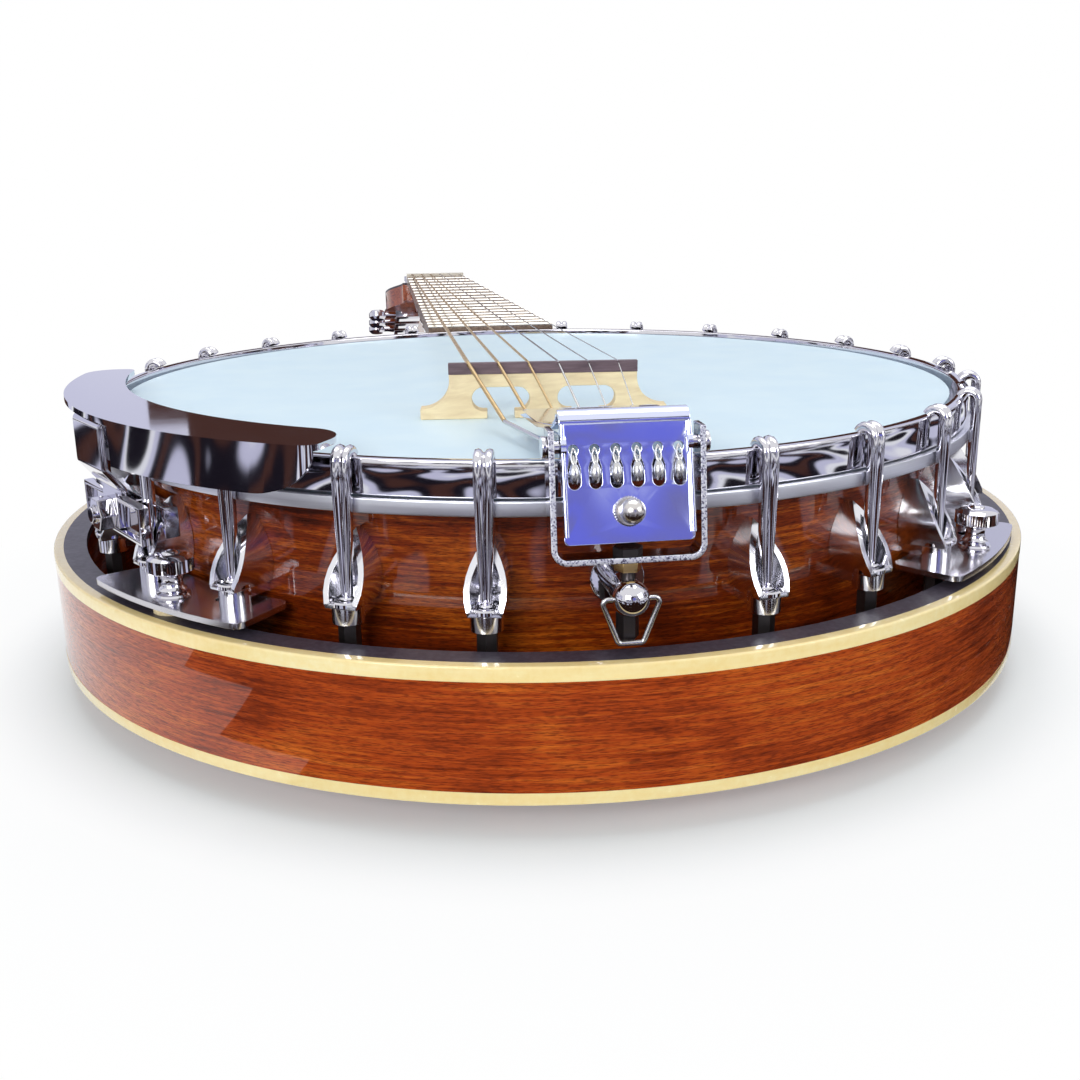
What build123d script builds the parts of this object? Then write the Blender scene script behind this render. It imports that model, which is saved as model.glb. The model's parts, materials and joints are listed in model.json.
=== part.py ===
from build123d import *
from math import asin, cos, log2, radians, sin, sqrt
import os

# Six-string guitar banjo with a resonator.  Millimetres.
# Origin: on the pot axis, at the lowest plane of the resonator back.
# +Z runs up through the head, +Y towards the headstock, -Y towards the tailpiece,
# and -X is the bass side, which carries the armrest.

# ---------------------------------------------------------------- driving sizes
# Resonator
RESONATOR_OUT = 19.4      # bindings outside the tension hoop
WALL_H = 36.4             # edge height, bindings included
WALL_T = 4.5
BINDING_T = 3.0
BINDING_H = 4.7
BACK_T = 4.5
BACK_RISE = 9.0           # how far the back's edge curves up
BACK_CURVE_W = 53.4       # curved border of the back
LIP_T = 2.4
LIP_W = 10.0              # bindings included
LUG_W = 11.4
LUG_H = 12.0
LUG_PROUD = 2.2           # lug collar above the lip, which carries the plate
# Pot
POT_ABOVE_LIP = 45.3      # top of the tension hoop above the lip
HEAD_R = 139.7            # eleven inch head
HEAD_T = 0.35
HEAD_DROP = 1.6           # head surface below the top of the hoop
RIM_T = 18.7
RIM_H = 60.5
TONE_RING_T = 6.0
TONE_RING_H = 8.0
HOOP_OUT = 6.3            # tension hoop outside the head
HOOP_T = 3.7
HOOP_H = 9.3
BAND_OUT = 7.9            # flesh hoop outside the head
BAND_H = 3.8
SEAT_GAP = 0.4            # between the tension hoop and the flesh hoop
# Brackets
STATIONS = 26             # equal places round the rim; tailpiece and neck take one each
BRACKET_TURN = 0.85       # of the ring of brackets from the neck's line, degrees
ROD_R = 1.45
ROD_GAP = 0.3             # rod to flesh hoop
ROD_THREAD_L = 6.0        # rod below the shoe
HOOK_START = 3.0          # shank of the hook above the boss
HOOK_SHELF = 1.0          # bevel where the hook meets the hoop
HOOK_TIP_T = 0.5
HOOK_W = 4.9              # flattened head of the hook
HOOK_T = 2.6
HOOK_RISE = 3.4           # crown above the hoop
HOOK_TIP_IN = 0.9         # tip of the hook from the hoop's inner edge
SHOE_W = 9.4
SHOE_WALL = 1.3
SHOE_H = 19.2
SHOE_BACK_T = 2.2         # behind the scoop
SHOE_TOP_DEPTH = 3.0      # how far the tip stands off the rim
BOSS_R = 4.3
BOSS_H = 5.6
NUT_AF = 5.0
NUT_H = 9.0
FIT = 0.05                # radial clearance of a running or a hand fit
# Resonator brackets
PLATE_T = 1.6
PLATE_GAP = 1.9           # to the rim
PLATE_SPAN = 24.0         # degrees
PLATE_CORNER = 3.0
PLATE_SLOT_L = 5.0
PLATE_SLOT_GAP = 0.4      # between a rod and its slot
THUMB_R = 6.2
THUMB_H = 6.0
THUMB_NECK_R = 3.4
THUMB_WAIST_R = 2.5
THUMB_BEVEL = 1.2
THUMB_STANDOFF = 6.6
THUMB_THREAD_R = 2.5
THUMB_INSET = 10.4        # thumb screws inside the bindings' outer face
# Rod through the pot
COORD_R = 4.7
COORD_TAP_L = 22.0        # threaded ends
COORD_Z_BELOW_HOOP = 31.5
END_BOLT_R = 2.6
TAIL_CUP_R = 7.0
CUP_T = 2.2
CUP_GAP = 0.1             # to the rim
BOLT_IN = 20.0            # end bolts inside the rim
TAIL_BODY_R = 4.6
TAIL_BODY_OUT = 18.5      # centre of the ball end, from the rim
RING_WIRE_R = 0.7
RING_END_IN = 0.6         # wire ends inside the ball
RING_TOP_W = 14.8
RING_BOTTOM_W = 6.2
RING_DROP = 11.3
# Tailpiece
STIRRUP_GAP = 1.6         # stirrup arms to the ears of the plate
TAIL_PLATE_H = 27.2
TAIL_SHEET_T = 1.3
TAIL_TILT = 14.5          # lean of the plate, degrees
TAIL_FOLD_R = 2.6
TAIL_LEAF_L = 38.0
LEAF_STEP = 3.0
LEAF_FALL = 2.6           # of the step
LEAF_DROP = 5.2           # tip below the knee
LEAF_CORNER = 2.0
TAIL_LEAF_FLARE = 3.1     # leaf beyond the plate, each side
TAIL_STANDOFF = 4.4       # pivot axis outside the tension hoop
TAIL_KNEE_BACK = 1.0      # top of the plate behind the pivot axis
TAIL_KNEE_UP = 4.8        # and above it
RAIL_H = 2.0              # rolled edges of the plate
TAIL_PIVOT_ABOVE = 4.5    # pivot axis above the tension hoop
STIRRUP_W = 38.0
STIRRUP_T = 1.5
STIRRUP_D = 6.4
STIRRUP_BEND_R = 4.0
STIRRUP_DROP = 27.6       # pivot axis to the underside
STIRRUP_ABOVE = 4.4       # arms above the pivot axis
HANGER_OUT = 3.6          # hanger screw outside the pivot axis
HANGER_R = 1.9
HANGER_NUT_H = 6.4
HANGER_NUT_AF = 5.0
HANGER_TOP_NUT_AF = 6.4
HANGER_TOP_NUT_H = 2.0
BRASS_NUT_H = 2.4
BRASS_NUT_AF = 6.0
PIN_R = 1.6
PIN_HEAD_R = 2.7
PIN_HEAD_T = 1.3
KEYHOLE_EDGE = 3.15       # outer keyholes from the plate's edge
KEYHOLE_W = 2.9
KEYHOLE_L = 9.6
KEYHOLE_ALONG = 16.8      # middle of the slots, from the plate's foot
PRESS_ALONG = 6.0         # press screw, from the plate's foot
PRESS_STANDOFF = 1.6      # its tip from the flesh hoop
PRESS_SCREW_R = 1.8
PRESS_KNOB_R = 3.7
PRESS_KNOB_L = 4.6
# Armrest
ARM_T = 1.6
ARM_ABOVE_HOOP = 5.2
ARM_OVER_HEAD = 1.5       # inner edge inside the head's edge
ARM_ARC_MORE = 2.6        # outer arc's radius over the inner one's
ARM_ARC_X = -13.4
ARM_ARC_Y = -13.3
ARM_START = 27.6          # degrees from the tail, towards the bass side
ARM_END = 93.5            # degrees
ARM_WIDE_CORNER = 12.0    # head side at the tail
ARM_FAR_CORNER = 9.0      # outside at the far end
ARM_SMALL_CORNER = 4.0
APRON_H = 12.8
APRON_CORNER = 10.5
STRAP_T = 1.8
APRON_END = 54.3          # degrees
APRON_GAP = 1.0           # outside the brackets
STRAP_W = 22.0
STRAP_FOOT_W = 12.0
STRAP_STEP = 5.6          # arm of the strap outside its foot
STRAP_SEAT_L = 11.0       # under the armrest
STRAP_RISE = 3.0          # straight foot above the clamp
STRAP_SLOPE_H = 6.0
STRAP_BEND_R = 1.6
FACE_GAP = 0.4            # clamp faces past the rods' chord
BOLT_END_L = 1.4
CLAMP_H = 11.0
CLAMP_T = 3.0
CLAMP_WALL = 1.3
CLAMP_SPAN = 18.0         # degrees
CLAMP_BELOW_HOOP = 19.5
JAW_T = 4.4
BAR_GAP = 0.2             # between the rods and each bar
CLAMP_BOLT_R = 2.4
CLAMP_NUT_AF = 9.0
CLAMP_NUT_H = 4.6
# Strings, bridge and neck
STRINGS = 6
SCALE = 630.0
BRIDGE_FROM_PIVOT = 75.86
BRIDGE_X = -8.3
BRIDGE_TURN = -6.0        # treble end towards the tail, degrees
BRIDGE_H = 16.0
BRIDGE_FOOT_W = 72.5
BRIDGE_TOP_W = 55.5
BRIDGE_FOOT_T = 7.0
BRIDGE_TOP_T = 2.6
BRIDGE_FOOT_H = 3.2
BRIDGE_WAIST = 2.2        # hollow of the ends
ARCH_X = 12.6             # middle of each arch
ARCH_Z = 5.6
ARCH_W = 17.0
ARCH_H = 6.8
ARCH_GAP = 8.0            # opening under each arch
CAP_H = 3.2
BRIDGE_SPREAD = 44.0      # outer string to outer string
NUT_SPREAD = 36.0
NUT_L = 5.0
NUT_PROUD = 1.6
BEND_CUT = 0.8            # of a string's corner
WOUND_R = (0.62, 0.48, 0.38)
PLAIN_R = (0.30, 0.22, 0.18)
TAIL_STRING_GAP = 0.3     # under the leaf, between a string and its tail
LEAF_GAP = 0.35           # between the leaf and a string
BALL_R = 1.3
BALL_L = 4.8
BALL_END_R = 0.6
BALL_PROUD = 0.7          # middle of the ball outside the sheet's middle
BOARD_ABOVE_HOOP = 1.6    # at the pot end
NECK_TILT = 0.45          # the neck leans back, degrees
BOARD_T = 6.0
BOARD_NUT_W = 44.5
BOARD_POT_W = 58.5
BOARD_GAP = 0.4           # end of the board to the tension hoop
FRET_END_GAP = 1.5        # least distance of a fret from the pot end of the board
FRET_W = 2.2
FRET_H = 1.1
DOT_R = 3.0
DOT_T = 1.0
NECK_DEPTH = 16.5         # wood below the board at the nut
NECK_DEPTH_POT = 19.0
HEEL_L = 34.0
HEEL_W = 40.0
HEEL_GAP = 2.0            # heel above the lip
HEAD_L = 168.0
HEAD_W_NUT = 52.0
HEAD_W_END = 76.0
HEAD_THICK = 14.0
HEAD_ANGLE = 14.0         # degrees
HEAD_TONGUE = 8.0         # of the headstock under the board
HEAD_SHOULDER = 18.0      # where the headstock has flared out
HEAD_FLARE = 8.0
HEAD_CORNER = 18.0
HEAD_CREST_W = 32.0
HEAD_CREST_H = 5.0
OVERLAY_T = 1.4
TRUSS_R = 2.6
TRUSS_SHORT = 47.6        # shorter than the board
TRUSS_POCKET_L = 14.0     # beyond the nut
TRUSS_COVER_L = 23.0
TRUSS_COVER_W = 18.0
COVER_T = 1.6
VOLUTE_L = 14.0
HEEL_BOLT_IN = 23.0       # neck bolt in the heel
# Tuning machines
TUNER_END = 58.0          # last post from the end of the headstock
TUNER_FIRST = 34.0        # from the nut
TUNER_INSET = 14.0        # post from the headstock's edge
POST_R = 3.0
POST_ABOVE = 11.0
POST_WAIST_BELOW = 6.0    # foot of the waist, from the top of the post
POST_WAIST_L = 3.0
POST_WAIST_DEEP = 0.5
BUSH_R = 5.2
BUSH_H = 2.4
BUSH_FLANGE = 1.4         # collar over the sleeve
CASE_W = 17.0
CASE_L = 20.0
CASE_H = 9.0
CASE_OUT = 1.5            # middle of the case outside its post
CASE_FLOOR = 2.5
CASE_CORNER = 2.0
SHAFT_R = 2.2
SHAFT_OUT = 9.0
SHAFT_START = 1.2         # clear of the post
BUTTON_W = 18.0
BUTTON_H = 13.5
BUTTON_T = 7.0
BUTTON_BEVEL = 1.8
BUTTON_SOCKET = 1.0       # shaft in the button

# ---------------------------------------------------------------- worked-out places
HOOP_R = HEAD_R + HOOP_OUT
BAND_R = HEAD_R + BAND_OUT
RESONATOR_R = HOOP_R + RESONATOR_OUT
BACK_FLAT_R = RESONATOR_R - BACK_CURVE_W
LIP_IN_R = RESONATOR_R - LIP_W
PLATE_IN_R = HEAD_R + PLATE_GAP
PLATE_OUT_R = RESONATOR_R - BINDING_T
THUMB_REACH_R = RESONATOR_R - THUMB_INSET
ARM_IN_R = HEAD_R - ARM_OVER_HEAD
ARM_ARC_R = ARM_IN_R + ARM_ARC_MORE
EDGE_Z = BACK_RISE
LIP_Z = BACK_RISE + WALL_H
HOOP_Z = LIP_Z + POT_ABOVE_LIP
HEAD_Z = HOOP_Z - HEAD_DROP
TONE_Z = HEAD_Z - HEAD_T - TONE_RING_H
RIM_R = HEAD_R
RIM_IN_R = RIM_R - RIM_T
RIM_Z = TONE_Z - RIM_H
COLLAR_R = HEAD_R + FIT + HEAD_T
BAND_TOP = HOOP_Z - HOOP_H - SEAT_GAP
BAND_Z = BAND_TOP - BAND_H
STEP = 360.0 / STATIONS
PITCH_R = BAND_R + ROD_GAP + ROD_R
PLATE_Z = LIP_Z + LUG_PROUD
BOSS_Z = PLATE_Z + PLATE_T
BOSS_TOP = BOSS_Z + BOSS_H
SHOE_TIP = BOSS_Z + SHOE_H
SHOE_BACK_R = RIM_R + FIT
BOSS_FRONT_R = PITCH_R + BOSS_R
HOOK_TIP_R = HOOP_R - HOOP_T + HOOK_TIP_IN
NECK_STATION = STATIONS // 2
HOOK_STATIONS = [k for k in range(STATIONS) if k not in (0, NECK_STATION)]
PLATE_PAIRS = ((3, 4), (9, 10), (16, 17), (22, 23))
COORD_Z = HOOP_Z - COORD_Z_BELOW_HOOP
BOARD_TOP = HOOP_Z + BOARD_ABOVE_HOOP
BOARD_Z = BOARD_TOP - BOARD_T
BOARD_Y = HOOP_R + BOARD_GAP
PIVOT_Y = -(HOOP_R + TAIL_STANDOFF)
BRIDGE_Y = PIVOT_Y + BRIDGE_FROM_PIVOT
NUT_Y = BRIDGE_Y + SCALE
FRETS = int(12 * log2(SCALE / (BOARD_Y + FRET_END_GAP - BRIDGE_Y)))
TRUSS_L = NUT_Y - BOARD_Y - TRUSS_SHORT
TUNER_PITCH = (HEAD_L - TUNER_FIRST - TUNER_END) / 2
TAIL_PLATE_W = STIRRUP_W - 2 * (STIRRUP_T + STIRRUP_GAP)
TAIL_LEAF_W = TAIL_PLATE_W + 2 * TAIL_LEAF_FLARE
KEYHOLE_PITCH = (TAIL_PLATE_W - 2 * KEYHOLE_EDGE) / (STRINGS - 1)
PIVOT_Z = HOOP_Z + TAIL_PIVOT_ABOVE
HANGER_Y = PIVOT_Y - HANGER_OUT
STIRRUP_Z = PIVOT_Z - STIRRUP_DROP
BRIDGE_TOP_Z = HEAD_Z + BRIDGE_H
HEAD_PIVOT_Y = NUT_Y + NUT_L
CLAMP_STATION = -4.5                      # midway between the fourth and fifth hooks
CLAMP_TOP = HOOP_Z - CLAMP_BELOW_HOOP
CLAMP_IN_R = PITCH_R + ROD_R + BAR_GAP    # outer bar against the rods
JAW_OUT_R = PITCH_R - ROD_R - BAR_GAP     # inner bar against the rods


# ---------------------------------------------------------------- small helpers
def ring(r_in, r_out, z_low, z_high):
    """A plain ring round the pot axis."""
    return Pos(0, 0, z_low) * extrude(Circle(r_out) - Circle(r_in), z_high - z_low)


def turned(*outline):
    """An (r, z) outline turned round the pot axis."""
    return revolve(Plane.XZ * make_face(Polyline(*outline, close=True)), Axis.Z)


def block(x, y, z):
    """A box between three pairs of limits."""
    size = (x[1] - x[0], y[1] - y[0], z[1] - z[0])
    middle = ((x[0] + x[1]) / 2, (y[0] + y[1]) / 2, (z[0] + z[1]) / 2)
    return Pos(*middle) * Box(*size)


def rod(start, end, radius):
    """A round bar from one point to another."""
    axis = Vector(*end) - Vector(*start)
    return extrude(Plane(origin=start, z_dir=axis) * Circle(radius), axis.length)


def station_angle(k):
    """Station 0 is at the tail; counting goes round by the treble side."""
    return -90.0 + BRACKET_TURN + k * STEP


def at_angle(solid, degrees_from_x):
    """Turn a solid built along +X to its place round the pot."""
    return Rot(0, 0, degrees_from_x) * solid


def polar(radius, angle):
    """A plan point at a distance and an angle from the pot axis."""
    return radius * cos(radians(angle)), radius * sin(radians(angle))


def bass_angle(degrees_from_tail):
    """An angle measured from the tail towards the bass side."""
    return -90.0 - degrees_from_tail


# ---------------------------------------------------------------- resonator
def arch_radius():
    run = RESONATOR_R - BINDING_T - BACK_FLAT_R
    return (run ** 2 + BACK_RISE ** 2) / (2 * BACK_RISE)


def resonator_back():
    edge_r = RESONATOR_R - BINDING_T
    arch = arch_radius()
    run = edge_r - BACK_FLAT_R
    half = asin(run / arch) / 2
    middle = (BACK_FLAT_R + arch * sin(half), arch * (1 - cos(half)))
    inner_middle = (middle[0], middle[1] + BACK_T)
    top_z = EDGE_Z + BINDING_H
    with BuildPart() as back:
        with BuildSketch(Plane.XZ):
            with BuildLine():
                Line((0, 0), (BACK_FLAT_R, 0))
                ThreePointArc((BACK_FLAT_R, 0), middle, (edge_r, EDGE_Z))
                Line((edge_r, EDGE_Z), (edge_r, top_z))
                ThreePointArc((edge_r, top_z), inner_middle, (BACK_FLAT_R, BACK_T))
                Line((BACK_FLAT_R, BACK_T), (0, BACK_T))
                Line((0, BACK_T), (0, 0))
            make_face()
        revolve(axis=Axis.Z)
    return back.part


def resonator_wall():
    outer = RESONATOR_R
    inner = outer - WALL_T
    rebate = outer - BINDING_T
    low = EDGE_Z + BINDING_H
    return turned((inner, low), (outer, low), (outer, LIP_Z - BINDING_H),
                  (rebate, LIP_Z - BINDING_H), (rebate, LIP_Z - LIP_T), (inner, LIP_Z - LIP_T))


def binding(z_low):
    return ring(RESONATOR_R - BINDING_T, RESONATOR_R, z_low, z_low + BINDING_H)


def screw_places():
    """Directions of the four resonator screws, each midway between two hooks."""
    return [station_angle((a + b) / 2) for a, b in PLATE_PAIRS]


def resonator_lip():
    lip = ring(LIP_IN_R, RESONATOR_R - BINDING_T, LIP_Z - LIP_T, LIP_Z)
    collar = Pos(THUMB_REACH_R, 0, LIP_Z - LIP_T) * extrude(
        Circle(LUG_W / 2 + 2 * FIT), LIP_T)
    for angle in screw_places():
        lip -= at_angle(collar, angle)
    return lip


def resonator_lug():
    """Threaded block under the lip, with a collar that comes up through it."""
    low = LIP_Z - LIP_T - LUG_H
    back = RESONATOR_R - WALL_T - FIT
    body = block((THUMB_REACH_R, back), (-LUG_W / 2, LUG_W / 2), (low, LIP_Z - LIP_T))
    body &= Pos(0, 0, low) * extrude(Circle(back), LUG_H)
    nose = Pos(THUMB_REACH_R, 0, low) * extrude(Circle(LUG_W / 2), LUG_H + LIP_T + LUG_PROUD)
    hole = Pos(THUMB_REACH_R, 0, low) * extrude(Circle(THUMB_THREAD_R + FIT), 2 * LUG_H)
    return body + nose - hole


def bracket_plate():
    """Curved plate under two shoes, with a hole for each rod and one for the screw."""
    half = radians(PLATE_SPAN / 2)
    reach = 2 * PLATE_OUT_R
    wedge = make_face(Polyline((0, 0), (reach, -reach * sin(half)),
                               (reach, reach * sin(half)), close=True))
    outline = (Circle(PLATE_OUT_R) - Circle(PLATE_IN_R)) & wedge
    outline = fillet(outline.vertices(), PLATE_CORNER)
    outline -= Pos(THUMB_REACH_R, 0) * Circle(THUMB_THREAD_R + 2 * FIT)
    slot = SlotCenterToCenter(PLATE_SLOT_L, 2 * (ROD_R + PLATE_SLOT_GAP))
    for side in (-1, 1):
        place = Rot(0, 0, side * STEP / 2) * Pos(PITCH_R, side * -PLATE_SLOT_L / 2)
        outline -= place * Rot(0, 0, 90) * slot
    return Pos(0, 0, PLATE_Z) * extrude(outline, PLATE_T)


def thumb_screw():
    """Round head on a waisted neck, with its thread in the lug."""
    z = PLATE_Z + PLATE_T
    low = z - PLATE_T - LUG_PROUD - LIP_T - LUG_H * 0.75
    top = z + THUMB_STANDOFF + THUMB_H
    edge = THUMB_R - THUMB_BEVEL
    flange = THUMB_NECK_R + THUMB_BEVEL
    screw = turned((0, top), (0, low), (THUMB_THREAD_R, low), (THUMB_THREAD_R, z), (flange, z),
                   (flange, z + THUMB_BEVEL), (THUMB_WAIST_R, z + THUMB_STANDOFF * 0.6),
                   (THUMB_NECK_R, z + THUMB_STANDOFF), (THUMB_R, z + THUMB_STANDOFF),
                   (THUMB_R, top - THUMB_BEVEL), (edge, top))
    return Pos(THUMB_REACH_R, 0, 0) * screw


# ---------------------------------------------------------------- pot
def rim():
    shell = ring(RIM_IN_R, RIM_R, RIM_Z, TONE_Z)
    bore = Plane.XZ.offset(RIM_IN_R - 1) * Pos(0, COORD_Z) * Circle(END_BOLT_R + FIT)
    hole = extrude(bore, RIM_T + 2)
    return shell - hole - mirror(hole, Plane.XZ)


def tone_ring():
    return ring(HEAD_R - TONE_RING_T, HEAD_R, TONE_Z, HEAD_Z - HEAD_T)


def head_skin():
    inner = HEAD_R + FIT
    return turned((0, HEAD_Z), (COLLAR_R, HEAD_Z), (COLLAR_R, BAND_Z), (inner, BAND_Z),
                  (inner, HEAD_Z - HEAD_T), (0, HEAD_Z - HEAD_T))


def flesh_hoop():
    return ring(COLLAR_R + FIT, BAND_R, BAND_Z, BAND_TOP)


def tension_hoop():
    return ring(HOOP_R - HOOP_T, HOOP_R, HOOP_Z - HOOP_H, HOOP_Z)


# ---------------------------------------------------------------- brackets
def leaf(foot_half, half_width, z_low, z_tip):
    """Pointed arch, as seen from outside the pot, widest a third of the way up."""
    wide_z = z_low + (z_tip - z_low) / 3
    with BuildSketch() as outline:
        with BuildLine():
            Line((-foot_half, z_low), (foot_half, z_low))
            ThreePointArc((foot_half, z_low), (half_width, wide_z), (0, z_tip))
            ThreePointArc((0, z_tip), (-half_width, wide_z), (-foot_half, z_low))
        make_face()
    return outline.sketch


def bracket_shoe():
    """Leaf-shaped scoop that stands on a round boss."""
    lip_r = SHOE_BACK_R + SHOE_TOP_DEPTH
    middle_z = (SHOE_TIP + BOSS_TOP) / 2
    wings = extrude(Plane.YZ.offset(SHOE_BACK_R) * shoe_outline(0), BOSS_FRONT_R - SHOE_BACK_R)
    with BuildSketch(Plane.XZ) as side:
        with BuildLine():
            Polyline((BOSS_FRONT_R, BOSS_TOP), (BOSS_FRONT_R, BOSS_Z), (SHOE_BACK_R, BOSS_Z),
                     (SHOE_BACK_R, SHOE_TIP), (lip_r, SHOE_TIP))
            ThreePointArc((lip_r, SHOE_TIP), ((lip_r + BOSS_FRONT_R) / 2 + 1.0, middle_z),
                          (BOSS_FRONT_R, BOSS_TOP))
        make_face()
    wings &= extrude(side.sketch, SHOE_W, both=True)
    hollow = leaf(BOSS_R - SHOE_WALL, SHOE_W / 2 - SHOE_WALL, BOSS_TOP, SHOE_TIP - 2 * SHOE_WALL)
    scoop = extrude(Plane.YZ.offset(SHOE_BACK_R + SHOE_BACK_T) * hollow, SHOE_W * 2)
    boss = Pos(PITCH_R, 0, BOSS_Z) * extrude(Circle(BOSS_R), BOSS_H)
    web = block((SHOE_BACK_R, PITCH_R), (-BOSS_R * 0.75, BOSS_R * 0.75), (BOSS_Z + SHOE_WALL, BOSS_TOP))
    bore = Pos(PITCH_R, 0, BOSS_Z) * extrude(Circle(ROD_R + 2 * FIT), BOSS_H)
    return wings + boss + web - scoop - bore


def shoe_outline(margin):
    """Front view of a shoe's scoop, with a margin all round."""
    return leaf(BOSS_R + margin, SHOE_W / 2 + margin, BOSS_TOP - SHOE_WALL, SHOE_TIP + margin)


def bracket_hook():
    """Rod that widens upwards and bends over the tension hoop."""
    top = HOOP_Z + HOOK_RISE
    outer = PITCH_R + HOOK_T / 2
    inner = PITCH_R - HOOK_T / 2
    low = BOSS_TOP + HOOK_START
    bend = HOOK_RISE + HOOK_SHELF
    tip_top = HOOP_Z + HOOK_TIP_T
    start = outer - bend
    half = bend * sin(radians(45))
    with BuildSketch(Plane.XZ) as side:
        with BuildLine():
            Polyline((outer, low), (inner, low), (inner, HOOP_Z - HOOK_SHELF),
                     (inner - HOOK_SHELF, HOOP_Z), (HOOK_TIP_R, HOOP_Z), (HOOK_TIP_R, tip_top))
            ThreePointArc((HOOK_TIP_R, tip_top),
                          (HOOK_TIP_R + HOOK_SHELF, HOOP_Z + HOOK_RISE * 0.68), (start, top))
            ThreePointArc((start, top), (start + half, top - bend + half), (outer, top - bend))
            Line((outer, top - bend), (outer, low))
        make_face()
    shank = extrude(side.sketch, HOOK_W, both=True)
    wide = HOOK_W / 2
    front = make_face(Polyline((-ROD_R, low), (ROD_R, low), (wide, HOOP_Z - HOOP_H), (wide, top + 1),
                               (-wide, top + 1), (-wide, HOOP_Z - HOOP_H), close=True))
    shank &= extrude(Plane.YZ.offset(HOOK_TIP_R - 1) * front, 2 * SHOE_W)
    foot_z = BOSS_Z - ROD_THREAD_L
    bar = Pos(PITCH_R, 0, foot_z) * extrude(Circle(ROD_R), low + HOOK_TIP_T - foot_z)
    return bar + shank


def hook_nut(top_z):
    """Long closed nut under the shoe."""
    hexagon = RegularPolygon(NUT_AF / 2, 6, major_radius=False)
    nut = Pos(PITCH_R, 0, top_z - NUT_H) * extrude(hexagon, NUT_H)
    depth = ROD_THREAD_L + 0.5
    return nut - Pos(PITCH_R, 0, top_z - depth) * extrude(Circle(ROD_R + FIT), depth)


def nut_top(k):
    return PLATE_Z if any(k in pair for pair in PLATE_PAIRS) else BOSS_Z


# ---------------------------------------------------------------- rod through the pot and tail end
def coordinator_rod():
    bar = rod((0, -RIM_R, COORD_Z), (0, RIM_R, COORD_Z), COORD_R)
    bar &= Pos(0, 0, RIM_Z) * extrude(Circle(RIM_IN_R - FIT), RIM_H)
    for side in (-1, 1):
        inner_end = side * (RIM_IN_R - COORD_TAP_L)
        bar -= rod((0, inner_end, COORD_Z), (0, side * RIM_R, COORD_Z), END_BOLT_R + FIT)
    return bar


def tail_cup():
    """Washer against the rim."""
    start = RIM_R + CUP_GAP
    ends = (0, -start, COORD_Z), (0, -start - CUP_T, COORD_Z)
    return rod(*ends, TAIL_CUP_R) - rod(*ends, END_BOLT_R + FIT)


def tail_bolt():
    """Bolt into the coordinator rod, with a round body and a domed end."""
    body_y = -(RIM_R + CUP_GAP + CUP_T)
    centre = -(RIM_R + TAIL_BODY_OUT)
    inner_end = -RIM_IN_R + BOLT_IN
    neck_r = TAIL_BODY_R - 0.5
    ball_start = centre + sqrt(TAIL_BODY_R ** 2 - neck_r ** 2)
    with BuildPart() as bolt:
        with BuildSketch(Plane.YZ):
            with BuildLine():
                Polyline((centre - TAIL_BODY_R, COORD_Z), (inner_end, COORD_Z),
                         (inner_end, COORD_Z + END_BOLT_R), (body_y, COORD_Z + END_BOLT_R),
                         (body_y, COORD_Z + neck_r), (ball_start, COORD_Z + neck_r))
                ThreePointArc((ball_start, COORD_Z + neck_r), (centre, COORD_Z + TAIL_BODY_R),
                              (centre - TAIL_BODY_R, COORD_Z))
            make_face()
        revolve(axis=Axis((0, 0, COORD_Z), (0, 1, 0)))
    reach = 2 * TAIL_BODY_R
    hanger = rod((0, HANGER_Y, COORD_Z - reach), (0, HANGER_Y, COORD_Z + reach), HANGER_R + 2 * FIT)
    bolt = bolt.part - hanger
    for side in (-1, 1):
        inside = side * (TAIL_BODY_R - RING_END_IN - FIT)
        bolt -= rod((inside, centre, COORD_Z), (side * reach, centre, COORD_Z), RING_WIRE_R + FIT)
    return bolt


def hanger_screw():
    """Draws the stirrup down on to the tail bolt."""
    low = COORD_Z - TAIL_BODY_R - HANGER_NUT_H - 1.0
    high = STIRRUP_Z + STIRRUP_T + HANGER_TOP_NUT_H
    return rod((0, HANGER_Y, low), (0, HANGER_Y, high), HANGER_R)


def hex_on_hanger(z_low, height, across):
    nut = Pos(0, HANGER_Y, z_low) * extrude(RegularPolygon(across / 2, 6, major_radius=False), height)
    return nut - Pos(0, HANGER_Y, z_low) * extrude(Circle(HANGER_R + FIT), height)


def hanger_nuts():
    under_bolt = hex_on_hanger(COORD_Z - TAIL_BODY_R - HANGER_NUT_H, HANGER_NUT_H, HANGER_NUT_AF)
    inside = hex_on_hanger(STIRRUP_Z + STIRRUP_T, HANGER_TOP_NUT_H, HANGER_TOP_NUT_AF)
    return [under_bolt, inside]


def brass_nut():
    return hex_on_hanger(STIRRUP_Z - BRASS_NUT_H, BRASS_NUT_H, BRASS_NUT_AF)


def strap_ring():
    """Wire loop that swings on the ball of the tail bolt."""
    y = -(RIM_R + TAIL_BODY_OUT)
    half = RING_TOP_W / 2
    foot = RING_BOTTOM_W / 2
    low = COORD_Z - RING_DROP
    left = [(RING_END_IN - TAIL_BODY_R, COORD_Z), (-half, COORD_Z), (-foot, low)]
    points = left + [(-x, h) for x, h in reversed(left)]
    path = Plane.XZ.offset(-y) * FilletPolyline(*points, radius=1.2)
    return sweep(Plane(origin=path @ 0, z_dir=path % 0) * Circle(RING_WIRE_R), path)


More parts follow.
